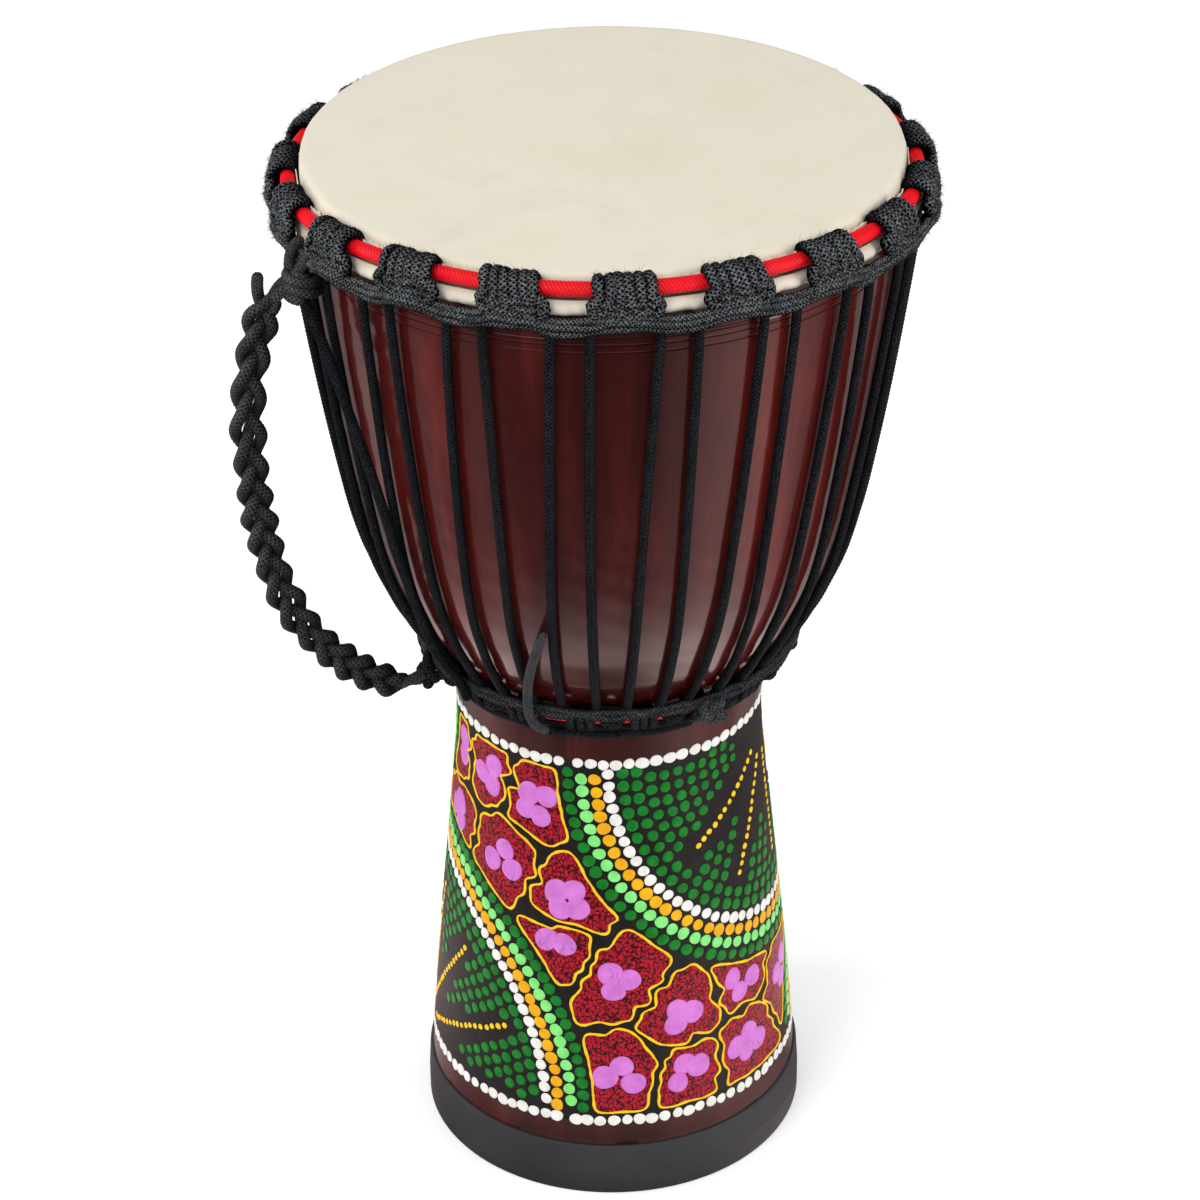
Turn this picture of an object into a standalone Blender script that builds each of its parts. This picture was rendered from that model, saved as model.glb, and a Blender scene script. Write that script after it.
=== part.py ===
"""Rope-tuned djembe, 0.60 m tall: carved goblet shell, rubber foot, goatskin head on two hoops,
waist ring, continuous tension rope, rope cradles, waist wraps, loose tail and braided carry handle.

Frame: +Z up, origin on the drum's axis at the plane the foot stands on. -Y is the front,
and the carry handle hangs to its left, towards -X. Azimuths are degrees from -Y towards +X.
Sizes below are millimetres and the scene is in metres. Outlines and hoop centres are
(radius, height), and places off the outlines are (azimuth, radius, height).
"""
import bpy
import bmesh
from math import sin, cos, pi, radians
from mathutils import Vector
from mathutils.geometry import tessellate_polygon

# ---------------------------------------------------------------- driving dimensions
MM = 0.001
LOOPS = 19                      # cradle loops on each ring
PITCH = 360.0 / LOOPS           # degrees between loops
LOOP_AZ = 6.0                   # azimuth of the top loop nearest the front
SHELL_SEG = 48                  # facets round the wooden shell and the foot
RING_SEG = 2 * LOOPS            # facets round hoops, wraps and skin
FACET_AZ = LOOP_AZ + PITCH / 4  # first corner of every turned part, at the edge of a top hitch

CROWN = (160.7, 595.2)          # centre of the crown hoop's rod
FLESH = (159.5, 585.5)          # centre of the flesh hoop's rod
WAIST = (94.6, 311.5)           # centre of the waist ring's rod

CORD = 2.3                      # radius of the wraps, tail, anchor and knots
HANDLE_AZ = -50.0
TOP_KNOT = (HANDLE_AZ, 174.6, 562.0)
LOW_KNOT = (HANDLE_AZ, 109.4, 311.5)


# ---------------------------------------------------------------- points and outlines
def at(az, r, z):
    """A point in metres from an azimuth in degrees, and a radius and a height in millimetres."""
    a = radians(az)
    return Vector((r * sin(a), -r * cos(a), z)) * MM


def arc(centre, radius, angles):
    """Outline points round a centre. Angle 0 points away from the drum's axis, 90 points up."""
    return [(centre[0] + radius * cos(radians(a)), centre[1] + radius * sin(radians(a)))
            for a in angles]


def polygon(centre, radius, sides, first=0):
    return arc(centre, radius, [first + 360 * k / sides for k in range(sides)])


def smooth_path(keys, per_span):
    """Catmull-Rom curve through (azimuth, radius, height) keys, as points in metres."""
    keys = [Vector(key) for key in keys]
    path = []
    for i in range(len(keys) - 1):
        p0 = keys[max(i - 1, 0)]
        p1, p2 = keys[i], keys[i + 1]
        p3 = keys[min(i + 2, len(keys) - 1)]
        for step in range(per_span):
            t = step / per_span
            path.append(0.5 * ((2 * p1) + (p2 - p0) * t + (2 * p0 - 5 * p1 + 4 * p2 - p3) * t * t
                               + (3 * p1 - p0 - 3 * p2 + p3) * t ** 3))
    path.append(keys[-1])
    return [at(*point) for point in path]


# ---------------------------------------------------------------- mesh helpers
def material(name, colour, roughness, metallic=0.0):
    mat = bpy.data.materials.new(name)
    mat.use_nodes = True
    shader = mat.node_tree.nodes["Principled BSDF"]
    shader.inputs["Base Color"].default_value = (*colour, 1.0)
    shader.inputs["Roughness"].default_value = roughness
    shader.inputs["Metallic"].default_value = metallic
    mat.diffuse_color = (*colour, 1.0)
    return mat


def finish(name, bm, mat, parent=None, origin=None, sharp=40):
    """Links a bmesh as an object with its origin at a given point. Edges over `sharp` degrees
    stay sharp."""
    bmesh.ops.recalc_face_normals(bm, faces=bm.faces)
    if origin is not None:
        bmesh.ops.translate(bm, verts=bm.verts, vec=-origin)
    mesh = bpy.data.meshes.new(name)
    bm.to_mesh(mesh)
    bm.free()
    mesh.shade_smooth()
    mesh.set_sharp_from_angle(angle=radians(sharp))
    mesh.materials.append(mat)
    obj = bpy.data.objects.new(name, mesh)
    bpy.context.scene.collection.objects.link(obj)
    obj.parent = parent
    if origin is not None:
        obj.location = origin
    return obj


def turned(name, profile, segments, mat, parent):
    """A (radius, height) outline turned about the axis. It closes on itself unless it starts
    and ends with a pole at radius 0."""
    bm = bmesh.new()
    step = 360.0 / segments
    rings = []
    for r, z in profile:
        if r == 0.0:
            rings.append([bm.verts.new(Vector((0, 0, z * MM)))])
        else:
            rings.append([bm.verts.new(at(FACET_AZ + k * step, r, z)) for k in range(segments)])
    n = len(rings)
    closed = profile[0][0] != 0.0
    for i in range(n if closed else n - 1):
        a, b = rings[i], rings[(i + 1) % n]
        for k in range(segments):
            j = (k + 1) % segments
            corners = [a[k % len(a)], a[j % len(a)], b[j % len(b)], b[k % len(b)]]
            bm.faces.new(list(dict.fromkeys(corners)))      # a pole gives a triangle
    return finish(name, bm, mat, parent)


def tube(name, points, radii, sides, mat, parent=None, origin=None, sharp=75, cyclic=False):
    """Rope along points, with one radius or a list of them. The ring frame is carried along
    so that it doesn't twist."""
    bm = bmesh.new()
    n = len(points)
    if not isinstance(radii, list):
        radii = [radii] * n
    rings, normal = [], None
    for i, point in enumerate(points):
        before = points[i - 1] if (cyclic or i > 0) else point
        after = points[(i + 1) % n] if (cyclic or i < n - 1) else point
        along = (after - before).normalized()
        if cyclic:
            normal = (Vector((0, 0, 1)) - along * along.z).normalized()
        else:
            if normal is None:
                steep = abs(along.z) >= 0.8
                normal = Vector((point.x, point.y, 0)) if steep else Vector((0, 0, 1))
            normal = (normal - along * normal.dot(along)).normalized()
        side = along.cross(normal)
        turns = [2 * pi * s / sides for s in range(sides)]
        rings.append([bm.verts.new(point + (normal * cos(a) + side * sin(a)) * radii[i] * MM)
                      for a in turns])
    for i in range(n if cyclic else n - 1):
        a, b = rings[i], rings[(i + 1) % n]
        for s in range(sides):
            q = (s + 1) % sides
            bm.faces.new((a[s], a[q], b[q], b[s]))
    if not cyclic:
        bm.faces.new(rings[0])
        bm.faces.new(rings[-1])
    return finish(name, bm, mat, parent, origin, sharp)


def joined(base, pieces):
    """Unites loose closed shapes with the base, and keeps them as hidden helpers."""
    helpers = bpy.data.collections.new(base.name + "_pieces")
    bpy.context.scene.collection.children.link(helpers)
    for piece in pieces:
        bpy.context.scene.collection.objects.unlink(piece)
        helpers.objects.link(piece)
        piece.hide_render = True
        piece.display_type = "WIRE"
    join = base.modifiers.new("join", "BOOLEAN")
    join.operation = "UNION"
    join.operand_type = "COLLECTION"
    join.collection = helpers
    join.solver = "EXACT"


# ---------------------------------------------------------------- shell and foot
WOOD_OUTSIDE = [
    (103.7, 3.4), (103.7, 32.4), (105.3, 32.4), (96.4, 130.0), (85.0, 245.0), (84.1, 270.0),
    (85.6, 296.0), (86.5, 306.0), (88.0, 312.0), (91.0, 316.0), (99.3, 325.0), (109.0, 340.0),
    (118.8, 360.0), (126.9, 380.0), (133.6, 405.0), (138.3, 430.0), (147.9, 490.0),
    (152.8, 530.0), (156.2, 564.5), (153.0, 568.0), (153.0, 595.0), (152.5, 597.6),
    (150.8, 598.8)]
WOOD_INSIDE = [
    (147.5, 598.8), (141.5, 592.0), (139.5, 560.0), (133.0, 490.0), (123.0, 430.0),
    (110.0, 380.0), (93.0, 345.0), (74.0, 318.0), (65.0, 295.0), (62.0, 265.0), (77.0, 130.0),
    (86.0, 40.0), (88.5, 3.4)]

FOOT_R, FOOT_H = 108.1, 32.0
FOOT_BORE_R = 104.2             # inside of the band round the wood
LIP_R, LIP_T = 89.0, 3.0        # inner radius and thickness of the lip under the wood


def build_shell(root, wood):
    """Goblet carved from one log, open from the bearing edge to the foot."""
    turned("shell", WOOD_OUTSIDE + WOOD_INSIDE, SHELL_SEG, wood, root)


def build_foot(root, rubber):
    """Moulded band round the outside with a lip under the wood."""
    outline = [(FOOT_R, 0.0), (FOOT_R - 1.4, FOOT_H - 1.0), (FOOT_R - 2.2, FOOT_H),
               (FOOT_BORE_R, FOOT_H), (FOOT_BORE_R, LIP_T), (LIP_R, LIP_T), (LIP_R, 0.0)]
    turned("rubber_foot", outline, SHELL_SEG, rubber, root)


# ---------------------------------------------------------------- head and hoops
HEAD_Z = 600.0                  # playing surface
HEAD_R = 154.8                  # outside of the skin's skirt
SKIN_T = 0.8
FOLD_IN, FOLD_OUT = 2.9, 3.7    # radii of the skin folded round the flesh hoop

# object name, rod centre, rod radius
HOOPS = [("flesh_ring", FLESH, 2.25), ("crown_ring", CROWN, 2.5), ("bottom_ring", WAIST, 2.0)]
# object name, rod centre, inner and outer radius of the sleeve
HOOP_WRAPS = [("crown_ring_wrap", CROWN, 3.1, 3.9), ("bottom_ring_wrap", WAIST, 2.5, 3.2)]


def build_drumhead(root, skin):
    """Flat membrane, rolled over the bearing edge, down the skirt and round the flesh hoop."""
    flesh_r, flesh_z = FLESH
    fold = [225 + 45 * k for k in range(5)]         # from below the hoop, out and over it
    top = [(0.0, HEAD_Z), (151.6, HEAD_Z), (154.0, HEAD_Z - 1.1), (HEAD_R, HEAD_Z - 3.4),
           (HEAD_R, flesh_z + 4.0), (flesh_r - FOLD_IN, flesh_z + 1.2)]
    underside = [(HEAD_R - SKIN_T, flesh_z - 1.5), (HEAD_R - SKIN_T, HEAD_Z - 3.6),
                 (153.2, HEAD_Z - 1.5), (151.2, HEAD_Z - SKIN_T), (0.0, HEAD_Z - SKIN_T)]
    outline = top + arc(FLESH, FOLD_IN, fold) + arc(FLESH, FOLD_OUT, fold[::-1]) + underside
    turned("drumhead", outline, RING_SEG, skin, root)


def build_hoops(root, steel):
    for name, centre, rod in HOOPS:
        turned(name, polygon(centre, rod, 6), RING_SEG, steel, root)


def build_hoop_wraps(root, red):
    """Fabric sleeves round the hoops, open along a slit on the side against the drum."""
    angles = [-157.5 + 45 * k for k in range(8)]
    for name, centre, inner, outer in HOOP_WRAPS:
        outline = arc(centre, outer, angles) + arc(centre, inner, angles[::-1])
        turned(name, outline, RING_SEG, red, root)


# ---------------------------------------------------------------- cradles
TOP_HITCH = [(155.2, 589.8), (155.2, 600.2), (156.4, 601.0), (165.5, 601.0), (169.3, 597.5),
             (169.5, 577.6), (165.0, 577.6), (165.0, 589.8)]
LOW_HITCH = [(89.6, 306.8), (89.5, 311.2), (91.7, 315.7), (96.8, 316.4), (99.6, 319.4),
             (103.9, 319.4), (103.9, 314.9), (100.4, 312.8), (100.2, 306.8)]


def hitch(name, outline, hole, az_from, az_to, mat):
    """A flat outline with a hole for the hoop, carried a short way round the drum."""
    bm = bmesh.new()
    ends = (az_from, az_to)
    outer = [[bm.verts.new(at(az, r, z)) for r, z in outline] for az in ends]
    inner = [[bm.verts.new(at(az, r, z)) for r, z in hole] for az in ends]
    for start, end in (outer, inner):
        n = len(start)
        for k in range(n):
            j = (k + 1) % n
            bm.faces.new((start[k], start[j], end[j], end[k]))
    flat = [[Vector((r, z, 0)) for r, z in loop] for loop in (outline, hole)]
    for triangle in tessellate_polygon(flat):
        for end in range(2):
            corners = outer[end] + inner[end]
            bm.faces.new([corners[i] for i in triangle])
    return finish(name, bm, mat)


def cradle(name, outline, hole, hitch_az, half_width, garland, shift, garland_r, mat, root):
    """Hitches round a hoop, united with the rope garland that runs between them. The garland is
    at (radius, height) in the middle of a loop and moves by `shift` towards a hitch."""
    points = []
    for k in range(4 * LOOPS):
        share = (1 - cos(2 * pi * k / 4)) / 2       # 0 at the middle of a loop, 1 at a hitch
        points.append(at(hitch_az[0] + k * PITCH / 4,
                         garland[0] + shift[0] * share, garland[1] + shift[1] * share))
    base = tube(name, points, garland_r, 6, mat, root, sharp=60, cyclic=True)
    hitches = []
    for k in range(LOOPS):
        middle = hitch_az[1] + k * PITCH
        hitches.append(hitch(f"{name}_hitch_{k:02d}", outline, hole,
                             middle - half_width, middle + half_width, mat))
    joined(base, hitches)


def build_top_cradle(root, black):
    """Wide hitches over the crown hoop, with the garland hanging between them."""
    cradle("top_cradle_rope", TOP_HITCH, polygon(CROWN, 4.3, 8, first=22.5),
           hitch_az=(LOOP_AZ, LOOP_AZ + PITCH / 2), half_width=PITCH / 4,
           garland=(166.5, 576.4), shift=(0.7, 3.2), garland_r=2.35, mat=black, root=root)


def build_bottom_cradle(root, black):
    """The same rope work turned upside down on the waist ring, half a pitch on."""
    cradle("bottom_cradle_rope", LOW_HITCH, polygon(WAIST, 4.1, 6),
           hitch_az=(LOOP_AZ + PITCH / 2, LOOP_AZ), half_width=3.0,
           garland=(103.6, 317.4), shift=(-1.3, -0.3), garland_r=2.2, mat=black, root=root)


# ---------------------------------------------------------------- tension rope
TENSION_ROPE = 2.2              # rope radius
TOP_GAP = 3.4                   # degrees, half the spacing of the two legs at a top loop
LOW_GAP = 4.4                   # degrees, half the spacing of the two legs at a waist loop
# centre of a leg between the loops, from the waist up: (radius, height)
LEG = [(102.9, 325.0), (113.2, 341.0), (123.3, 362.0), (132.6, 386.0), (142.4, 435.0),
       (152.4, 500.0), (161.2, 573.0)]
# half of each loop, up to its middle: (degrees from the middle, radius, height)
TOP_LOOP = [(3.3, 161.3, 577.6), (2.5, 163.1, 580.7), (1.1, 166.4, 581.5)]
LOW_LOOP = [(4.35, 99.6, 320.8), (4.0, 98.0, 317.2), (3.0, 99.5, 314.1), (1.4, 102.8, 312.4)]


def mirrored(middle, half):
    """Keys of half a loop on the near side of its middle azimuth, then back on the far side."""
    return ([(middle - offset, r, z) for offset, r, z in half]
            + [(middle + offset, r, z) for offset, r, z in reversed(half)])


def build_tension_rope(root, black):
    """One line, up a leg, over a top garland, down a leg and under a waist garland, and on."""
    low_offset = PITCH / 2 - LOW_GAP
    low_z, top_z = LEG[0][1], LEG[-1][1]
    leg = []
    for r, z in LEG:
        share = (z - low_z) / (top_z - low_z)
        leg.append((low_offset + (TOP_GAP - low_offset) * share, r, z))
    keys = []
    for i in range(LOOPS):
        middle = LOOP_AZ + i * PITCH
        keys += mirrored(middle, leg + TOP_LOOP) + mirrored(middle + PITCH / 2, LOW_LOOP)
    keys = keys[:-len(LOW_LOOP)]    # the rope ends halfway along the last waist loop
    tube("tension_rope", [at(*key) for key in keys], TENSION_ROPE, 5, black, root)


# ---------------------------------------------------------------- waist wraps, knots and tail
UPPER_TURN, LOWER_TURN = (89.4, 303.2), (88.9, 298.1)
WRAP_FROM, WRAP_TO, WRAP_STEPS = 42.0, 718.0, 60
DROP_AT, DROP_OVER = 362.0, 30.0    # azimuth where the rope drops a turn, and how far it takes
WRAP_END = [(-3.6, 90.4, 298.1), (-5.4, 94.0, 298.9), (-6.4, 98.6, 300.6), (-7.0, 102.0, 302.2)]

TAIL_PIVOT = (-7.2, 103.2, 303.3)
TAIL = [(-7.2, 103.4, 303.5), (-9.6, 109.6, 309.6), (-10.6, 113.2, 322.0),
        (-9.0, 120.6, 342.0), (-6.0, 131.6, 366.0), (-2.6, 139.4, 389.0)]

COIL_R = 2.75                   # radius of a knot's turns, to the centre of the cord
COIL_STEPS = 9                  # steps in each turn
TOP_KNOT_END = [(HANDLE_AZ - 0.6, 178.6, 573.0), (HANDLE_AZ - 1.6, 178.6, 580.6)]


def build_waist_wraps(root, black):
    """Rope wound twice round the waist, then led out at the front where its tail begins."""
    path = []
    for k in range(WRAP_STEPS + 1):
        az = WRAP_FROM + (WRAP_TO - WRAP_FROM) * k / WRAP_STEPS
        drop = min(max((az - DROP_AT) / DROP_OVER, 0.0), 1.0)
        drop = drop * drop * (3 - 2 * drop)         # eased at both ends
        r, z = [upper + (lower - upper) * drop for upper, lower in zip(UPPER_TURN, LOWER_TURN)]
        path.append(at(az, r, z))
    path += [at(*key) for key in WRAP_END]
    tube("waist_wrap_rope", path, CORD, 5, black, root)


def build_tail(root, black):
    """Leaves the wraps, bends upwards and lies on the tension rope. It turns on its pivot."""
    radii = [CORD] * 14 + [CORD * 0.9, CORD * 0.6]
    tube("rope_tail", smooth_path(TAIL, 3), radii, 6, black, root, origin=at(*TAIL_PIVOT))


def coil(name, place, turns, rise, mat, root, lead_out=()):
    """A wound knot: a few turns of cord about an upright line, with a cut end."""
    az = place[0]
    centre = at(*place)
    out, side = at(az, 1, 0) / MM, at(az + 90, 1, 0) / MM
    steps = int(COIL_STEPS * turns)
    points = []
    for k in range(steps + 1):
        a = 2 * pi * turns * k / steps + pi
        points.append(centre + (out * cos(a) + side * sin(a)) * COIL_R * MM
                      + Vector((0, 0, (k / steps - 0.5) * rise * MM)))
    points += [at(*key) for key in lead_out]
    tube(name, points, CORD, 6, mat, root)


def build_knots(root, black):
    """A knot on the wraps, right of the front, and the two that hold the carry handle."""
    coil("waist_knot", (43.0, 96.9, 300.8), turns=1.4, rise=6.7, mat=black, root=root)
    coil("handle_top_knot", TOP_KNOT, turns=2.5, rise=12.5, mat=black, root=root,
         lead_out=TOP_KNOT_END)
    coil("handle_bottom_knot", LOW_KNOT, turns=2.0, rise=10.0, mat=black, root=root)


# ---------------------------------------------------------------- carry handle
ANCHOR = [(-49.2, 173.4, 553.2), (-47.8, 169.0, 545.0), (-44.6, 163.0, 518.0),
          (-38.7, 152.4, 460.0), (-35.4, 143.4, 408.0), (-35.6, 124.4, 351.0),
          (-33.6, 110.4, 324.0), (-32.2, 109.6, 314.0)]
# centre line of the handle, from the top knot to the low one: (radius, height)
HANDLE = [(180.3, 562.5), (186.5, 560.0), (192.4, 550.5), (196.3, 535.0), (201.0, 516.0),
          (203.6, 492.0), (203.4, 466.0), (201.6, 440.0), (197.6, 415.0), (191.6, 391.0),
          (182.0, 368.5), (169.6, 349.5), (154.6, 332.5), (139.6, 319.5), (127.5, 312.3),
          (115.2, 311.5)]
STRANDS = 3
STRAND_R = 4.3
PLAIT_W, PLAIT_D = 4.2, 2.4     # half width and half depth of the strands' weave
PLAIT_CYCLES = 4.5
PLAIT_INSET = 4                 # centre-line points left bare of plait at each end
WHIPPING_RADII = [2.6, 2.7, 4.4, 6.4, 7.6, 7.8, 6.9]    # from the knot inwards


def build_anchor(root, black):
    """Cord led down the bowl from the crown knot to the waist, over the tension rope."""
    tube("handle_anchor_rope", smooth_path(ANCHOR, 4), CORD, 6, black, root)


def plait(core, phase):
    """Path of one strand weaving about the centre line."""
    across = at(HANDLE_AZ + 90, 1, 0).normalized()
    first, last = PLAIT_INSET, len(core) - 1 - PLAIT_INSET
    points = []
    for i in range(first, last + 1):
        along = (core[i + 1] - core[i - 1]).normalized()
        out = along.cross(across)
        a = 2 * pi * (PLAIT_CYCLES * (i - first) / (last - first) + phase)
        points.append(core[i] + (across * sin(a) * PLAIT_W + out * sin(2 * a) * PLAIT_D) * MM)
    return points


def build_handle(root, black):
    """Three strands plaited into one soft bar, whipped together at both ends. It swings on the
    line through its two knots."""
    core = smooth_path([(HANDLE_AZ, r, z) for r, z in HANDLE], 3)
    braid = tube("handle_braid", plait(core, 0), STRAND_R, 5, black, root,
                 origin=at(*LOW_KNOT), sharp=60)
    pieces = [tube(f"handle_strand_{k}", plait(core, k / STRANDS), STRAND_R, 5, black, sharp=60)
              for k in range(1, STRANDS)]
    length = len(WHIPPING_RADII)
    for end, path in (("top", core[:length]), ("low", core[-length:][::-1])):
        pieces.append(tube(f"handle_whipping_{end}", path, WHIPPING_RADII, 8, black, sharp=60))
    joined(braid, pieces)


# ---------------------------------------------------------------- scene
def main():
    for old in list(bpy.data.objects):
        bpy.data.objects.remove(old, do_unlink=True)
    root = bpy.data.objects.new("djembe", None)
    bpy.context.scene.collection.objects.link(root)

    wood = material("stained_mahogany", colour=(0.085, 0.020, 0.015), roughness=0.30)
    rubber = material("black_rubber", colour=(0.030, 0.030, 0.032), roughness=0.75)
    skin = material("goatskin", colour=(0.78, 0.73, 0.60), roughness=0.55)
    steel = material("hoop_steel", colour=(0.45, 0.45, 0.46), roughness=0.40, metallic=1.0)
    red = material("red_wrap", colour=(0.75, 0.01, 0.02), roughness=0.70)
    black = material("black_rope", colour=(0.016, 0.016, 0.018), roughness=0.80)

    build_shell(root, wood)
    build_foot(root, rubber)
    build_drumhead(root, skin)
    build_hoops(root, steel)
    build_hoop_wraps(root, red)
    for build in (build_top_cradle, build_bottom_cradle, build_tension_rope, build_waist_wraps,
                  build_tail, build_knots, build_anchor, build_handle):
        build(root, black)


main()
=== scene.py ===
"""Looks for a rope-tuned djembe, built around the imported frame.

The drum stands on the floor with its axis on Z. Helpers work in millimetres, meshes are in metres.
A place is (az, r, z): degrees from -Y towards +X, distance from the axis, and height.
"""
import math

import bpy
import numpy as np
from mathutils import Euler, Matrix, Vector


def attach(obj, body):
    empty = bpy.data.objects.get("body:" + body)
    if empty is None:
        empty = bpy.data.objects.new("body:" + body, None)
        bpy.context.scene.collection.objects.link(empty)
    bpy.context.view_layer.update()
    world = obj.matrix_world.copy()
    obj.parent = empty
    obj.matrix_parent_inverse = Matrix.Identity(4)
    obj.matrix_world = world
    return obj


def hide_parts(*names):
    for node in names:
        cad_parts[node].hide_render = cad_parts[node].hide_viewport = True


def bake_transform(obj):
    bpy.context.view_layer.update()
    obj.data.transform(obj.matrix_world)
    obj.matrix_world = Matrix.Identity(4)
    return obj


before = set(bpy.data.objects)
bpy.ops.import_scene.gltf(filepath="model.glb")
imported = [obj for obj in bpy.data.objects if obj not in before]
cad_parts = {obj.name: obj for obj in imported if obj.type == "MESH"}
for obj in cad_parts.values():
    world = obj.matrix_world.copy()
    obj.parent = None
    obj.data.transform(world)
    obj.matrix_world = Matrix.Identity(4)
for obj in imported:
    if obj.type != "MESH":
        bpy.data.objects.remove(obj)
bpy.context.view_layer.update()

PI = math.pi
MM = 0.001
LOOPS = 19                      # tension loops round the drum
PITCH = 360.0 / LOOPS
GAP_AZ = 6.0                    # middle of a gap between two hitches
VIEW_AZ = 12.0                  # where the camera stands
LOW_TURN = -2.7                 # the waist cradle sits a little round from the crown's
HANDLE_AZ = -50.0
CROWN_R, CROWN_Z = 160.7, 595.2  # centre line of the red crown hoop
WAIST_R, WAIST_Z = 94.6, 311.5   # centre line of the red waist hoop
CRADLE_R = 166.0                # where widths round the crown cradle are measured
WAIST_CRADLE_R = 98.0
rng = np.random.default_rng(1907)


# ------------------------------------------------------------------ geometry helpers
def cyl(az, r, z):
    """Places to xyz points."""
    az, r, z = np.broadcast_arrays(*(np.asarray(q, float) for q in (az, r, z)))
    angle = np.radians(az)
    return np.stack([r * np.sin(angle), -r * np.cos(angle), z], -1)


def arc(length, r):
    """Degrees taken up by a length round a circle."""
    return np.degrees(length / r)


def wrap(angle, period=360.0):
    """The angle brought to within half a period of zero."""
    return (angle + period / 2) % period - period / 2


def ease(t):
    """Smooth step from 0 to 1."""
    t = np.clip(t, 0, 1)
    return t * t * (3 - 2 * t)


def unit(v):
    return v / np.maximum(np.linalg.norm(v, axis=-1, keepdims=True), 1e-12)


def even(points, step, closed=False):
    """Resamples a line at even lengths of about step."""
    if closed and np.linalg.norm(points[0] - points[-1]) > 1e-6:
        points = np.concatenate([points, points[:1]])
    lengths = np.linalg.norm(np.diff(points, axis=0), axis=1)
    reached = np.concatenate([[0], np.cumsum(lengths)])
    count = max(int(round(reached[-1] / step)), 3)
    if closed:
        count += count % 2           # the braid's bumps alternate, so a ring needs an even count
    wanted = np.linspace(0, reached[-1], count + 1)
    if closed:
        wanted = wanted[:-1]
    return np.stack([np.interp(wanted, reached, points[:, i]) for i in range(3)], -1)


def spline(keys, step):
    """Catmull-Rom through places, resampled evenly, as xyz points."""
    keys = np.asarray(keys, float)
    last = len(keys) - 1
    t = np.linspace(0, 1, 17)[:-1, None]
    spans = []
    for i in range(last):
        p0, p1, p2, p3 = keys[[max(i - 1, 0), i, i + 1, min(i + 2, last)]]
        spans.append(0.5 * ((2 * p1) + (p2 - p0) * t + (2 * p0 - 5 * p1 + 4 * p2 - p3) * t ** 2
                            + (3 * p1 - p0 - 3 * p2 + p3) * t ** 3))
    spans.append(keys[-1:])
    return even(cyl(*np.concatenate(spans).T), step)


def wander(az, z, seed, terms=6, around=(2, 9), up=(2, 12)):
    """Smooth wandering, periodic round the axis, about -1 to 1. around and up bound its pace."""
    draw = np.random.default_rng(seed)
    total = 0
    for _ in range(terms):
        waves = draw.integers(*around)
        rate = draw.uniform(*up)
        total = total + np.sin(np.radians(az) * waves + z * rate * 0.01 + draw.uniform(0, 6.28))
    return total / terms ** 0.5 / 1.2


def grid_quads(rows, sides, closed=True):
    """Quads between rows of points that each run round. closed joins the last row to the first."""
    here = np.arange(rows * sides).reshape(rows, sides)
    beside = np.roll(here, -1, 1)
    quads = np.stack([here, beside, np.roll(beside, -1, 0), np.roll(here, -1, 0)], -1)
    return (quads if closed else quads[:-1]).reshape(-1, 4)


def carried_normals(path, tangent, closed):
    """Normals carried along a path without twisting."""
    count = len(path)
    normals = np.empty_like(path)
    if abs(tangent[0, 2]) < 0.85:
        normal = np.array([0.0, 0.0, 1.0])
    else:
        normal = unit(path[0] * [1, 1, 0] + [1e-9, 0, 0])
    for i in range(count):
        normal = normal - (normal @ tangent[i]) * tangent[i]
        normal /= np.linalg.norm(normal)
        normals[i] = normal
    if closed:                       # spread the leftover twist along the loop
        first, end = normals[0], normals[-1] - (normals[-1] @ tangent[0]) * tangent[0]
        end /= np.linalg.norm(end)
        twist = math.atan2(np.cross(first, end) @ tangent[0], first @ end)
        back = (-twist * np.arange(count) / count)[:, None]
        normals = normals * np.cos(back) + np.cross(tangent, normals) * np.sin(back)
    return normals


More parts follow.
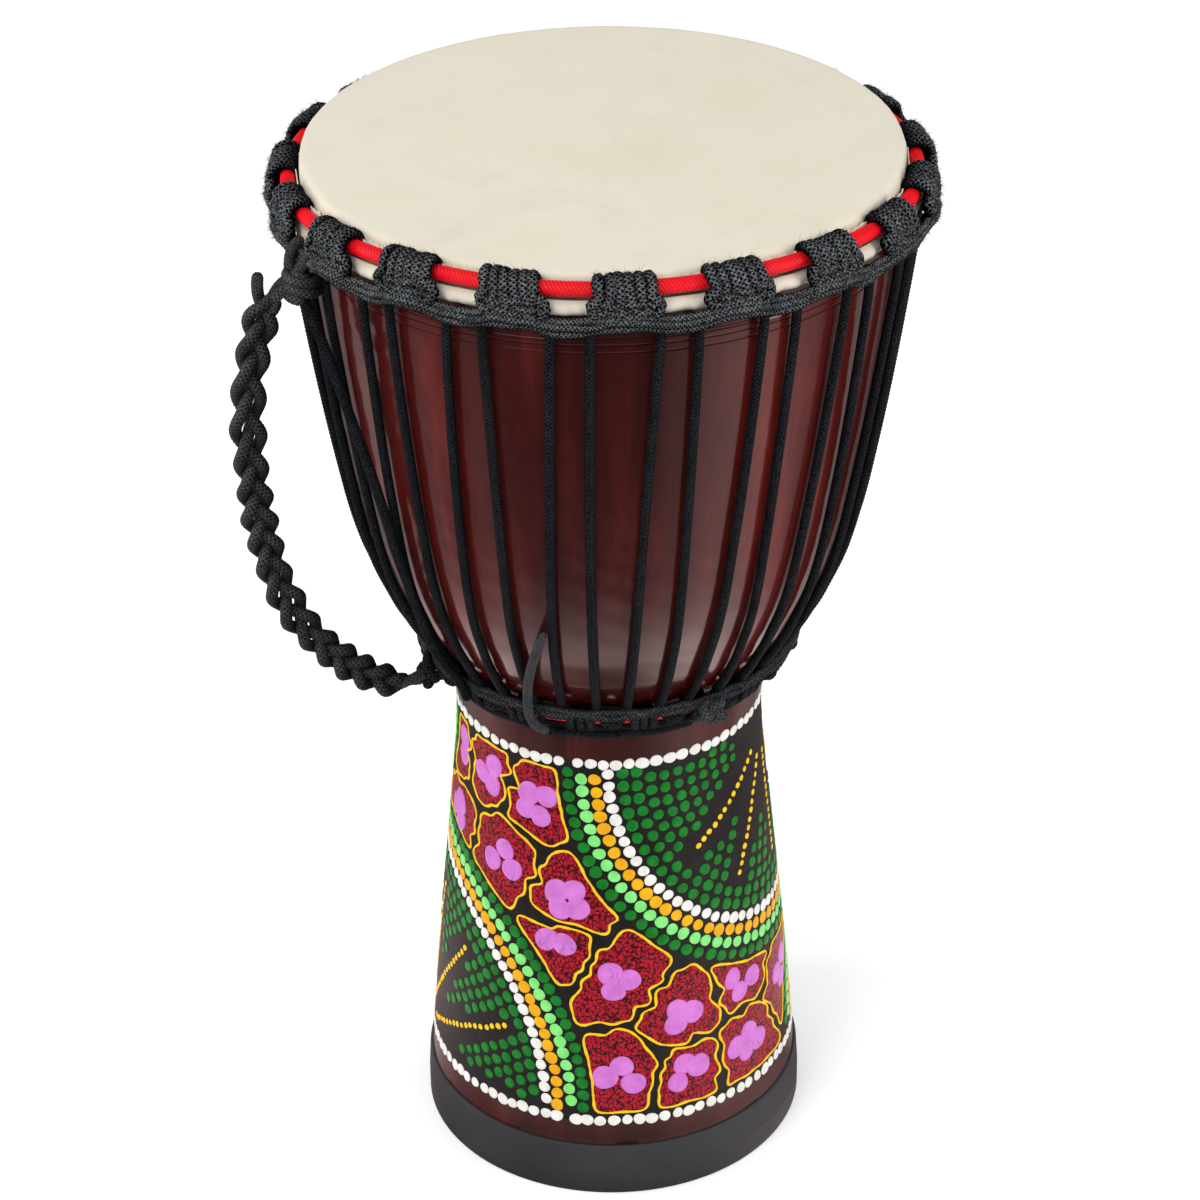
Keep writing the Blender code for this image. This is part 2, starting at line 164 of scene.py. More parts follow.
class Pieces:
    """Gathers tubes, lathed rings and sheets into one mesh."""

    def __init__(self):
        self.points, self.faces, self.along, self.height = [], [], [], []
        self.count = 0

    def add(self, points, faces, along=0.0, height=0.0):
        points = np.asarray(points, float).reshape(-1, 3)
        self.points.append(points)
        self.faces += [np.asarray(f, np.int64) + self.count for f in faces]
        self.along.append(np.broadcast_to(along, len(points)))
        self.height.append(np.broadcast_to(height, len(points)))
        self.count += len(points)

    def tube(self, path, radius, sides=12, bump=0.18, closed=False, radial=False, wide=1.0,
             net=True, taper=(1, 1), rag=0.0, painted_side_shade=0.0):
        """A braided rope along a path.

        bump is the height of the braid's bumps and wide stretches the section. radial points the
        section away from the drum's axis. net joins neighbouring bumps both ways; without it
        they run as slanting ribs. taper rounds the two ends, rag roughens the surface, and the
        last argument paints light and shade into the height value: it raises it on the side facing
        a light from above and outside the drum and lowers it on the sides that face inwards or
        down.
        """
        count = len(path)
        if closed:
            tangent = unit(np.roll(path, -1, 0) - np.roll(path, 1, 0))
        else:
            tangent = unit(np.gradient(path, axis=0))
        if radial:
            out = path * [1, 1, 0]
            normal = unit(out - (out * tangent).sum(-1, keepdims=True) * tangent)
        else:
            normal = carried_normals(path, tangent, closed)
        side = np.cross(tangent, normal)
        lengths = np.linalg.norm(np.diff(path, axis=0), axis=1)
        along = np.concatenate([[0], np.cumsum(lengths)])
        radius = np.broadcast_to(radius, count).astype(float)
        if not closed:
            for distance, amount in zip((along, along[-1] - along), taper):
                inward = np.clip(distance / radius.max(), 0, 1)
                radius *= np.sqrt(np.maximum(1 - (1 - inward) ** 2 * amount, 0.02))
        height = (-1.0) ** (np.arange(count)[:, None] + np.arange(sides)[None])
        reach = radius[:, None] + bump * height * (radius / radius.max())[:, None]
        if rag:
            draw = np.random.default_rng(count * 31 + sides)
            reach = reach + rag * draw.normal(0, 1, reach.shape).clip(-1.6, 2.2)
        angle = 2 * PI * np.arange(sides) / sides
        cos, sin = np.cos(angle), np.sin(angle)
        points = (path[:, None] + normal[:, None] * (reach * cos)[..., None]
                  + side[:, None] * (reach * sin * wide)[..., None]).reshape(-1, 3)
        tone = height
        if painted_side_shade:
            # painted light and shade: the height value rises on the side facing a light from above
            # and outside the drum and falls on the sides turned away from it
            lit = unit(unit(path * [1, 1, 0]) + [0, 0, 0.7])
            facing = (normal * lit).sum(-1)[:, None] * cos + (side * lit).sum(-1)[:, None] * sin
            tone = np.clip(height + painted_side_shade * (facing - 0.75), -3, 1.3)
        quads = grid_quads(count, sides, closed)
        if net:
            odd = height.reshape(-1)[:len(quads)] < 0
            quads[odd] = np.roll(quads[odd], -1, 1)
        faces, along, tone = [quads], np.repeat(along, sides), tone.reshape(-1)
        if not closed:
            here = np.arange(sides)
            beside, last, end = np.roll(here, -1), (count - 1) * sides, count * sides
            faces += [np.stack([np.full(sides, end), beside, here], -1),
                      np.stack([np.full(sides, end + 1), last + here, last + beside], -1)]
            points = np.concatenate([points, path[:1], path[-1:]])
            along = np.concatenate([along, [0, along[-1]]])
            tone = np.concatenate([tone, [0, 0]])
        self.add(points, faces, along, tone)

    def lathe(self, outline, segments, wobble=None, az_first=0.0, closed=True):
        """An (r, z) outline turned about the axis."""
        outline = np.asarray(outline, float)
        az = (az_first + 360.0 * np.arange(segments) / segments)[None]
        shape = (len(outline), segments)
        r, z = (np.broadcast_to(outline[:, i][:, None], shape).copy() for i in (0, 1))
        if wobble is not None:
            r, z = wobble(az, r, z)
        self.add(cyl(az, r, z), [grid_quads(*shape, closed)])

    def build(self, name, mat, body, slot, replaces=(), flip=False, sharp=None):
        """Makes the object. body is the frame's part that it moves with, if just one."""
        quads, tris = (np.concatenate([np.zeros((0, corners), np.int64)]
                                      + [f for f in self.faces if f.shape[1] == corners])
                       for corners in (4, 3))
        if flip:
            quads, tris = quads[:, ::-1], tris[:, ::-1]
        points = np.concatenate(self.points) * MM
        mesh = bpy.data.meshes.new(name)
        mesh.vertices.add(len(points))
        mesh.vertices.foreach_set("co", points.astype(np.float32).reshape(-1))
        corners = np.concatenate([quads.reshape(-1), tris.reshape(-1)]).astype(np.int32)
        mesh.loops.add(len(corners))
        mesh.loops.foreach_set("vertex_index", corners)
        starts = np.concatenate([4 * np.arange(len(quads)),
                                 4 * len(quads) + 3 * np.arange(len(tris))]).astype(np.int32)
        mesh.polygons.add(len(starts))
        mesh.polygons.foreach_set("loop_start", starts)
        mesh.update(calc_edges=True)
        for key, values in (("along", self.along), ("height", self.height)):
            attribute = mesh.attributes.new(key, "FLOAT", "POINT")
            attribute.data.foreach_set("value", np.concatenate(values).astype(np.float32))
        mesh.validate()
        mesh.shade_smooth()
        if sharp:
            mesh.set_sharp_from_angle(angle=math.radians(sharp))
        mesh.materials.append(mat)
        obj = bpy.data.objects.new(name, mesh)
        bpy.context.scene.collection.objects.link(obj)
        if body:
            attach(obj, body)
        if replaces:
            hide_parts(*replaces)
        return obj


# ------------------------------------------------------------------ materials
class Graph:
    """A small node builder round one Principled material."""

    def __init__(self, name):
        self.material = bpy.data.materials.new(name)
        self.material.use_nodes = True
        self.tree = self.material.node_tree
        self.shader = self.tree.nodes["Principled BSDF"]

    def put(self, socket, value):
        """Links a socket, or sets a value. A colour may leave out its alpha."""
        if isinstance(value, bpy.types.NodeSocket):
            self.tree.links.new(value, socket)
            return
        if socket.type == "RGBA" and len(value) == 3:
            value = (*value, 1.0)
        socket.default_value = value

    def node(self, kind, **inputs):
        """_name sets a property, i0 an input by its number, and any other an input by name."""
        made = self.tree.nodes.new(kind)
        for key, value in inputs.items():
            if key[0] == "_":
                setattr(made, key[1:], value)
            else:
                self.put(made.inputs[int(key[1:]) if key[0] == "i" else key], value)
        return made

    def set(self, **values):
        for key, value in values.items():
            self.put(self.shader.inputs[key.replace("_", " ")], value)
        return self.material

    def math(self, op, a, b=0.0, c=None, clamp=False):
        extra = {} if c is None else {"i2": c}
        return self.node("ShaderNodeMath", _operation=op, i0=a, i1=b, _use_clamp=clamp,
                         **extra).outputs[0]

    def rise(self, a, b, gain):
        """gain * (a - b), held between 0 and 1."""
        return self.math("MULTIPLY", self.math("SUBTRACT", a, b), gain, clamp=True)

    def coords(self, scale=(1, 1, 1)):
        place = self.node("ShaderNodeTexCoord").outputs["Object"]
        return self.node("ShaderNodeMapping", Vector=place, Scale=scale).outputs[0]

    def xyz(self):
        place = self.node("ShaderNodeTexCoord").outputs["Object"]
        return self.node("ShaderNodeSeparateXYZ", Vector=place).outputs

    def azimuth(self, xyz):
        return self.math("ARCTAN2", xyz["X"], self.math("MULTIPLY", xyz["Y"], -1.0))

    def noise(self, scale, detail=3.0, rough=0.55, stretch=(1, 1, 1), distortion=0.0):
        return self.node("ShaderNodeTexNoise", Scale=scale, Detail=detail, Roughness=rough,
                         Distortion=distortion, Vector=self.coords(stretch)).outputs["Fac"]

    def ramp(self, factor, *stops):
        made = self.node("ShaderNodeValToRGB", Fac=factor)
        elements = made.color_ramp.elements
        while len(elements) < len(stops):
            elements.new(0.5)
        for element, (position, colour) in zip(elements, stops):
            element.position = position
            element.color = (*colour, 1.0)
        return made.outputs["Color"]

    def mix(self, factor, a, b, mode="MIX"):
        # inputs 6 and 7 and output 2 are the colour sockets
        return self.node("ShaderNodeMix", _data_type="RGBA", _blend_type=mode, Factor=factor,
                         i6=a, i7=b).outputs[2]

    def bump(self, height, strength, distance, **normal):
        return self.node("ShaderNodeBump", Height=height, Strength=strength, Distance=distance,
                         **normal).outputs["Normal"]


def srgb(*levels):
    """8-bit sRGB to linear."""
    return tuple(((c / 255 + 0.055) / 1.055) ** 2.4 if c > 10 else c / 255 / 12.92
                 for c in levels)


def rope_material(name, dark, light, rough=0.62, sheen=0.0, fibre=0.5, low=0.04, high=0.62,
                  grain=1700, sparse=0.22, gain=3.2, gloss=0.18):
    """Braided cord: the light colour is a painted highlight on the braid's heights, from low to
    high, broken up by fine fibres, and the hollows and the sides the height value marks as shaded
    keep the dark colour as painted shade. sparse leaves fewer fibres light, and gain hardens
    their edges."""
    graph = Graph(name)
    height = graph.node("ShaderNodeAttribute", _attribute_name="height").outputs["Fac"]
    height = graph.math("MULTIPLY_ADD", height, (high - low) / 2, (high + low) / 2)
    fine = graph.noise(grain, 2.0, 0.6)
    broad = graph.noise(70, 2.0, 0.5)
    lit = graph.math("MULTIPLY", height, graph.rise(fine, sparse, gain), clamp=True)
    lit = graph.math("MULTIPLY", lit, graph.math("ADD", broad, 0.5), clamp=True)
    return graph.set(
        Base_Color=graph.mix(lit, srgb(*dark), srgb(*light)), Roughness=rough,
        Normal=graph.bump(fine, fibre, 0.0003), Sheen_Weight=sheen, Sheen_Roughness=0.4,
        Sheen_Tint=(0.75, 0.82, 0.95), Specular_IOR_Level=gloss)


def mahogany():
    graph = Graph("lacquered_mahogany")
    grain = graph.noise(42, 5.0, 0.6, stretch=(1, 1, 0.06), distortion=0.4)
    pores = graph.noise(420, 3.0, 0.6, stretch=(1, 1, 0.03))
    cloud = graph.noise(9, 2.0, 0.5)
    colour = graph.ramp(grain, (0.30, srgb(50, 8, 8)), (0.5, srgb(68, 13, 10)),
                        (0.72, srgb(92, 24, 17)))
    colour = graph.mix(graph.rise(0.5, pores, 2.0), colour, srgb(38, 10, 10))
    colour = graph.mix(graph.rise(cloud, 0.42, 2.0), colour, srgb(58, 15, 15))
    # darker below the waist ropes
    xyz = graph.xyz()
    low = graph.rise(0.318, xyz["Z"], 40.0)
    colour = graph.mix(low, colour, (0.62, 0.62, 0.62), "MULTIPLY")
    # painted light: darker facing the camera and lighter 45 degrees either side, by turns round the
    # axis
    turn = graph.math("SUBTRACT", graph.azimuth(xyz), math.radians(VIEW_AZ))
    turn = graph.math("COSINE", graph.math("MULTIPLY", turn, 4.0))
    turn = graph.math("ADD", 1.04, graph.math("MULTIPLY", turn, -0.30))
    colour = graph.node("ShaderNodeVectorMath", _operation="SCALE", i0=colour, Scale=turn)
    return graph.set(
        Base_Color=colour.outputs["Vector"], Roughness=0.45, Specular_IOR_Level=0.08,
        Coat_Weight=graph.math("SUBTRACT", 1.0, graph.math("MULTIPLY", low, 0.5)),
        Coat_Roughness=0.13, Coat_IOR=1.5, Normal=graph.bump(pores, 0.2, 0.0002),
        Coat_Normal=graph.bump(graph.noise(30, 3.0), 0.10, 0.0012))


def goatskin():
    graph = Graph("goatskin")
    cloud = graph.noise(11, 4.0, 0.6)
    vein = graph.noise(34, 5.0, 0.65, distortion=1.2)
    pore = graph.noise(1500, 2.0)
    colour = graph.ramp(cloud, (0.30, srgb(209, 201, 179)), (0.55, srgb(214, 206, 187)),
                        (0.75, srgb(203, 197, 183)))
    colour = graph.mix(graph.rise(vein, 0.55, 1.2), colour, srgb(196, 184, 157))
    return graph.set(
        Base_Color=colour, Roughness=0.55, Sheen_Weight=0.15, Specular_IOR_Level=0.35,
        Normal=graph.bump(pore, 0.10, 0.0003, Normal=graph.bump(vein, 0.12, 0.001)))


def rubber():
    graph = Graph("black_rubber")
    grit = graph.noise(900, 3.0)
    colour = graph.ramp(graph.noise(14, 3.0), (0.35, srgb(44, 44, 46)), (0.7, srgb(53, 53, 55)))
    return graph.set(Base_Color=colour, Roughness=graph.math("MULTIPLY_ADD", grit, 0.2, 0.48),
                     Normal=graph.bump(grit, 0.2, 0.0003), Specular_IOR_Level=0.18)


def paint(name, dark, light, rough=0.45, coat=0.07):
    graph = Graph(name)
    tone = graph.noise(160, 3.0, 0.6)
    return graph.set(
        Base_Color=graph.ramp(tone, (0.35, srgb(*dark)), (0.65, srgb(*light))),
        Roughness=rough, Coat_Weight=coat, Coat_Roughness=0.2, Specular_IOR_Level=0.16,
        Normal=graph.bump(graph.noise(700, 2.0), 0.15, 0.0003))


def pink_paint():
    """Pink with darker scratches in patches."""
    graph = Graph("pink_dots")
    scratch = graph.noise(240, 4.0, 0.7, stretch=(1, 1, 0.4), distortion=0.8)
    patch = graph.noise(60, 2.0)
    colour = graph.ramp(graph.noise(120, 2.0), (0.3, srgb(180, 96, 178)),
                        (0.7, srgb(198, 114, 196)))
    worn = graph.math("MULTIPLY", graph.rise(scratch, 0.52, 6.0), graph.rise(patch, 0.5, 6.0),
                      clamp=True)
    # the product is left unclamped, as both factors already keep it a plain share
    worn.node.use_clamp = False
    return graph.set(Base_Color=graph.mix(worn, colour, srgb(126, 84, 136)), Roughness=0.42,
                     Coat_Weight=0.1, Coat_Roughness=0.2, Specular_IOR_Level=0.2)


def cell_paint():
    """Red grains with dark joints that come and go."""
    graph = Graph("red_cells")
    cells = dict(Vector=graph.coords((430, 430, 360)), Scale=1.0, Randomness=0.8)
    grains = graph.node("ShaderNodeTexVoronoi", **cells).outputs["Distance"]
    gaps = graph.node("ShaderNodeTexVoronoi", _feature="DISTANCE_TO_EDGE", **cells)
    gaps = gaps.outputs["Distance"]
    edge = graph.rise(0.19, gaps, 12.0)
    thin = graph.rise(graph.noise(520, 1.0, 0.5), 0.40, 9.0)
    colour = graph.ramp(grains, (0.0, srgb(178, 6, 38)), (0.7, srgb(146, 2, 26)))
    return graph.set(
        Base_Color=graph.mix(graph.math("MULTIPLY", edge, thin), colour, srgb(44, 3, 10)),
        Roughness=0.45, Coat_Weight=0.07, Coat_Roughness=0.2, Specular_IOR_Level=0.16,
        Normal=graph.bump(gaps, 0.4, 0.0005))


# the light colours of these ropes are painted highlights on the braid's heights and lit sides
BLACK_ROPE = rope_material("black_braided_rope", (1, 1, 2), (48, 51, 56), low=-0.24, high=0.70,
                           grain=1000, sparse=0.3, gain=3.6, gloss=0.05)
HANDLE_ROPE = rope_material("handle_rope", (3, 3, 4), (80, 81, 84), sheen=0.02, low=-0.10,
                            high=0.80, grain=1100, sparse=0.3, gain=4.0, gloss=0.14)
FUZZY_ROPE = rope_material("fuzzy_cradle_rope", (3, 3, 4), (134, 137, 140), rough=0.85,
                           fibre=0.9, low=-0.48, high=0.66, grain=900, sparse=0.33, gain=3.8,
                           gloss=0.03)
WAIST_ROPE = rope_material("waist_cradle_rope", (1, 1, 2), (82, 84, 88), rough=0.75, fibre=0.7,
                           low=-0.4, high=0.7, grain=1000, sparse=0.32, gain=3.8, gloss=0.05)
FIBRES = Graph("loose_fibres").set(Base_Color=srgb(20, 21, 22), Roughness=0.9,
                                   Specular_IOR_Level=0.1)
# the wrap's light red is a painted highlight on its ribs
RED_WRAP = rope_material("red_hoop_wrap", (150, 0, 4), (250, 16, 34), rough=0.5, fibre=0.25,
                         low=0.25, high=1.3)
WOOD = mahogany()
SKIN = goatskin()
RUBBER = rubber()
GROUND_PAINT = paint("black_ground", (20, 19, 18), (28, 27, 26), rough=0.55, coat=0.04)
PAINTS = {
    "white": paint("white_dots", (206, 203, 197), (224, 221, 216)),
    "green": paint("green_dots", (0, 96, 20), (2, 118, 32)),
    "lightgreen": paint("light_green_dots", (108, 202, 100), (130, 216, 122)),
    "orange": paint("orange_dots", (212, 146, 0), (224, 166, 4)),
    "yellow": paint("yellow_lines", (222, 174, 4), (234, 192, 12)),
    "pink": pink_paint(),
}
CELL_PAINT = cell_paint()

# ------------------------------------------------------------------ wood
# (z, r) up the outside of the shell, from the foot to the head
OUTSIDE = np.array([
    (32.8, 105.3), (46, 104.1), (60.0, 102.9), (95, 99.7), (130.0, 96.4), (165, 92.8),
    (200.0, 89.3), (225, 86.8), (245.0, 85.1), (262, 84.2), (275, 84.2), (296.0, 85.6),
    (306.0, 86.6), (312.0, 88.0), (316.0, 91.0), (325.0, 99.3), (340.0, 109.2), (360.0, 119.0),
    (380.0, 127.1), (405.0, 133.7), (430.0, 138.4), (460, 143.5), (490.0, 148.0), (520, 152.0),
    (550, 155.3), (565.2, 156.3)])
# (z, r) down the bore
INSIDE = np.array([
    (598.8, 147.5), (592.0, 141.5), (560.0, 139.5), (490.0, 133.0), (430.0, 123.0),
    (380.0, 110.0), (345.0, 93.0), (318.0, 74.0), (295.0, 65.0), (265.0, 62.0), (225, 65.2),
    (130.0, 77.0), (40.0, 86.0), (3.6, 88.5)])
# (r, z): the seat inside the rubber foot, and the bevelled steps up to the rim
SEAT = [(103.7, 3.6), (103.7, 31.9), (104.9, 32.3), (105.35, 33.0)]
RIM = [(156.25, 565.6), (155.9, 566.0), (155.9, 566.9), (155.45, 567.3), (155.4, 568.6),
       (154.9, 569.4), (154.9, 571.5), (153.0, 573.5), (153.0, 595.0), (152.7, 597.2),
       (151.9, 598.4), (150.8, 598.8)]
GROOVE_HEIGHTS = (558.4, 562.7)
GROOVE = ((-0.9, 0), (-0.55, 0.02), (-0.15, 0.42), (0.15, 0.42), (0.55, 0.02), (0.9, 0))


def smooth_rows(table, step):
    """(z, r) rows resampled every step and smoothed over about 9 mm."""
    z, r = table.T
    flip = z[0] > z[-1]
    if flip:
        z, r = z[::-1], r[::-1]
    heights = np.arange(z[0], z[-1] + 1e-6, step)
    radii = np.interp(heights, z, r)
    weights = np.hanning(int(9 / step) | 1)
    weights /= weights.sum()
    pad = len(weights) // 2
    radii = np.concatenate([radii[0] - (radii[1] - radii[0]) * np.arange(pad, 0, -1), radii,
                            radii[-1] + (radii[-1] - radii[-2]) * np.arange(1, pad + 1)])
    radii = np.convolve(radii, weights, "valid")
    return (heights[::-1], radii[::-1]) if flip else (heights, radii)


wall_z, wall_r = smooth_rows(OUTSIDE, 2.0)
# the bowl is smoothed once more, so that its lacquer shows no steps
weights = np.hanning(25)[1:-1]
broad = np.pad(wall_r, 11, mode="reflect", reflect_type="odd")
broad = np.convolve(broad, weights / weights.sum(), "valid")
bowl = np.clip((wall_z - 350) / 20, 0, 1) * np.clip((552 - wall_z) / 12, 0, 1)
wall_r = wall_r + (broad - wall_r) * ease(bowl)


def wood_r(z):
    return np.interp(z, wall_z, wall_r)


def wood_wobble(az, r, z):
    outside = (r > wood_r(z) - 3) | (z > 560)
    dents = 0.16 * wander(az, z, 3) + 0.07 * wander(az, z, 4, 8, (9, 30), (6, 40))
    dents = dents * np.clip((z - 285) / 60.0, 0.15, 1)
    lines = 0.05 * np.sin(z * 2.2) * np.exp(-((z - 545) / 22.0) ** 2)
    painted = (z > 34) & (z < 560) & outside
    bore = np.where(~outside, 0.8 * np.abs(wander(az, z, 9)), 0)
    return r + np.where(painted, dents + lines, 0) - bore, z


wall = list(zip(wall_r[1:], wall_z[1:]))
outline = SEAT + [row for row in wall if row[1] <= 556.6]
outline += [(wood_r(z + up) - cut, z + up) for z in GROOVE_HEIGHTS for up, cut in GROOVE]
outline += [row for row in wall if row[1] >= 564.4] + RIM
bore_z, bore_r = smooth_rows(INSIDE, 8.0)
outline += list(zip(bore_r, bore_z))
shell = Pieces()
shell.lathe(outline, 360, wood_wobble)
shell.build("shell_wood", WOOD, "drum", "stained_wood", ["shell"], sharp=40)

# rubber foot, (r, z), with a moulding seam and a softened lip
FOOT = [(108.1, 0.8), (108.0, 14.8), (107.75, 15.1), (107.95, 15.4), (107.1, 29.6),
        (106.6, 31.2), (105.9, 32.0), (104.6, 32.2), (104.2, 31.8), (104.2, 3.2), (90.0, 3.1),
        (89.2, 2.6), (89.0, 0.9), (89.4, 0.15), (90.2, 0.0), (107.0, 0.0), (107.7, 0.2)]
foot = Pieces()
foot.lathe(FOOT, 288, lambda az, r, z: (r + 0.10 * wander(az, z, 12) * (z > 1), z))
foot.build("foot_rubber", RUBBER, "drum", "rubber", ["rubber_foot"], sharp=35)

# ------------------------------------------------------------------ stem painting, made by rule
PAINT_LOW, PAINT_HIGH = 49.0, 275.0
BORDER = 5.2                    # kept free of fans' dots at either end
LEAN = math.atan(0.105)         # the stem wall's slope
COS_LEAN, SIN_LEAN = math.cos(LEAN), math.sin(LEAN)
# (az, z, radius of the white arc, ray angles in degrees)
FANS = [(91.0, 265.0, 117.0, (216, 243, 270, 297, 324)),
        (-83.0, 45.0, 133.0, (5, 28, 52, 77, 103, 128, 152, 175)),
        (-134.0, 272.0, 75.0, (200, 235, 270, 305, 340)),
        (137.0, 45.0, 70.0, (15, 52, 90, 128, 165))]
# (distance outside the white arc, colour, dot radius, spacing, stagger)
ARCS = ((0.0, "white", 3.35, 7.1, 0.0), (7.2, "orange", 3.6, 7.7, 0.5),
        (14.8, "lightgreen", 3.55, 7.8, 0.0), (22.2, "green", 3.4, 7.9, 0.5))


def on_stem(az, z, dx, dy, lift):
    """Points dx, dy from a place on the stem's surface and lift off it."""
    az, z, dx, dy, lift = (np.asarray(q, float) for q in (az, z, dx, dy, lift))
    height = z + dy * COS_LEAN
    return cyl(az + arc(dx, wood_r(z)), wood_r(height) + lift * COS_LEAN,
               height + lift * SIN_LEAN)


def stem_place(az, z, dx, dy):
    """The (az, z) that lies dx, dy from another."""
    height = z + dy * COS_LEAN
    return az + arc(dx, wood_r((height + z) / 2)), height


def flat(az, z, az2, z2):
    """Offset on the unrolled stem from (az, z) to (az2, z2)."""
    return np.radians(wrap(az2 - az)) * wood_r((z + z2) / 2), (z2 - z) / COS_LEAN


def apart(az, z, az2, z2):
    return np.hypot(*flat(az, z, az2, z2))


def dab(pieces, az, z, rx, ry, thick, turn=0.0, sides=14, dip=0.0):
    """A dab of thick paint: a low dome with a slightly uneven outline and a dipped middle."""
    a = 2 * PI * np.arange(sides) / sides
    uneven = (1 + 0.035 * np.sin(2 * a + rng.uniform(0, 6.28))
              + 0.03 * np.sin(3 * a + rng.uniform(0, 6.28)))
    x, y = rx * uneven * np.cos(a), ry * uneven * np.sin(a)
    x, y = (x * math.cos(turn) - y * math.sin(turn), x * math.sin(turn) + y * math.cos(turn))
    base, sunk = 0.16, -0.15
    # (share of the outline, height off the wood)
    rings = [(0.985, sunk), (1.0, base + 0.25 * thick), (0.93, base + 0.72 * thick),
             (0.70, base + (0.98 - dip) * thick), (0.35, base + (1.0 - 1.6 * dip) * thick)]
    points = [on_stem(az, z, x * share, y * share, lift) for share, lift in rings]
    points += [on_stem(az, z, [0.0], [0.0], lift)
               for lift in (base + (1.02 - 1.8 * dip) * thick, sunk)]
    here, count = np.arange(sides), len(rings)
    beside, last, top = np.roll(here, -1), (count - 1) * sides, count * sides
    pieces.add(np.concatenate(points), [
        grid_quads(count, sides, closed=False),
        np.stack([last + here, last + beside, np.full(sides, top)], -1),
        np.stack([beside, here, np.full(sides, top + 1)], -1)])


def claimed(az, z, fans, margin):
    """True inside one of the fans."""
    return any(apart(fan_az, fan_z, az, z) < radius + 24 + margin
               for fan_az, fan_z, radius, _ in fans)


def ground_wobble(az, r, z):
    edge = (z > 270) | (z < 50)
    return r + 0.03 * wander(az, z, 21), z + 0.25 * wander(az, z * 0, 22, 8, (8, 40)) * edge


ground = Pieces()
band_z = np.linspace(PAINT_LOW - 1.5, PAINT_HIGH + 1.0, 90)
band = [(wood_r(z) + 0.18, z) for z in band_z] + [(wood_r(z) - 0.5, z) for z in band_z[::-1]]
ground.lathe(band, 240, ground_wobble)
ground.build("stem_paint_ground", GROUND_PAINT, "drum", "stained_wood", sharp=40)

# a white row round each end
dots = {colour: Pieces() for colour in PAINTS}
ROW_STEP = 7.15
for level in (PAINT_LOW, PAINT_HIGH):
    r = wood_r(level)
    az = 0.0
    while az < 360 - arc(0.55 * ROW_STEP, r):
        size = rng.uniform(3.1, 3.65)
        dab(dots["white"], az + rng.uniform(-0.2, 0.2), level + rng.uniform(-0.5, 0.5),
            size * rng.uniform(0.95, 1.12), size, 0.62)
        az += arc(ROW_STEP + rng.uniform(-0.75, 0.9), r)


def fan_dot(index, colour, rad, angle, size, thick=0.55):
    """A dot of a fan, left out where it meets the border or an earlier fan."""
    fan_az, fan_z = FANS[index][:2]
    az, z = stem_place(fan_az, fan_z, rad * math.cos(angle), rad * math.sin(angle))
    if not PAINT_LOW + BORDER < z < PAINT_HIGH - BORDER or claimed(az, z, FANS[:index], 3.0):
        return
    size = size * rng.uniform(0.93, 1.07)
    dab(dots[colour], az + rng.uniform(-0.25, 0.25), z + rng.uniform(-0.35, 0.35), size,
        size * rng.uniform(0.94, 1.1), thick, angle)


for index, (_, _, radius, ray_angles) in enumerate(FANS):
    for beyond, colour, size, spacing, stagger in ARCS:
        rad = radius + beyond
        count = int(2 * PI * rad / spacing)
        for i in range(count):
            fan_dot(index, colour, rad, 2 * PI * (i + stagger) / count, size)
    rays = np.radians(np.array(ray_angles) + rng.uniform(-2, 2, len(ray_angles)))
    reach = radius - rng.uniform(14, 30, len(rays))
    for angle, far in zip(rays, reach):
        rad = 0.22 * radius
        while rad < far:
            fan_dot(index, "yellow", rad, angle, 1.75, 0.45)
            rad += 5.0 + rng.uniform(-0.2, 0.3)
    row = 0
    rad = radius - 7.6
    while rad > 0.30 * radius:
        inward = 1 - rad / radius
        count = int(2 * PI * rad / (8.6 - 2.2 * inward))
        for i in range(count):
            angle = 2 * PI * (i + 0.5 * (row % 2)) / count
            off_ray = np.abs(wrap(angle - rays, 2 * PI))
            near = int(off_ray.argmin())
            # green keeps clear of each ray, and further clear near the fan's centre
            clear = 4.4 + 0.12 * (radius - rad)
            if off_ray[near] * rad >= clear or rad >= reach[near] + 7:
                fan_dot(index, "green", rad, angle, 3.45 - 1.2 * inward)
        rad -= 7.7
        row += 1

# cells: seeds spread by rule over what the fans leave free, then grown until they meet
CELL_SIDES = 96
seeds = []
tries = np.random.default_rng(4242)
for spread in (43.0, 38.0, 33.0):
    for _ in range(2600):
        az, z = tries.uniform(0, 360), tries.uniform(PAINT_LOW + 16, PAINT_HIGH - 16)
        if claimed(az, z, FANS, 9.0):
            continue
        if all(apart(az, z, *seed) > spread for seed in seeds):
            seeds.append((az, z))
angles = 2 * PI * np.arange(CELL_SIDES) / CELL_SIDES


def cell_reach(index, az0, z0):
    """How far a cell grows from its seed at each angle."""
    d = np.arange(1.0, 42.0, 0.4)
    az, z = stem_place(az0, z0, np.cos(angles)[:, None] * d, np.sin(angles)[:, None] * d)
    room = np.minimum(z - PAINT_LOW - 5.0, PAINT_HIGH - 5.0 - z)
    for fan_az, fan_z, radius, _ in FANS:
        room = np.minimum(room, apart(fan_az, fan_z, az, z) - (radius + 27.8))
    joint = wander(az, z * 2.2, 505, 9, (8, 34), (6, 26))
    for az2, z2 in seeds:
        if (az2, z2) == (az0, z0) or apart(az0, z0, az2, z2) >= 110:
            continue
        # both neighbours see the same wandering border, so the black joint keeps an even width
        sign = math.copysign(1.0, az0 * 3.7 + z0 - az2 * 3.7 - z2)
        room = np.minimum(room, apart(az2, z2, az, z) - d - 4.4 + 5.5 * sign * joint)
    room = room + 0.5 * wander(az, z * 3.0, 77 + index, 6, (18, 60), (8, 30)) - 0.6
    blocked = room < 0
    return np.where(blocked.any(1), d[blocked.argmax(1)], d[-1])


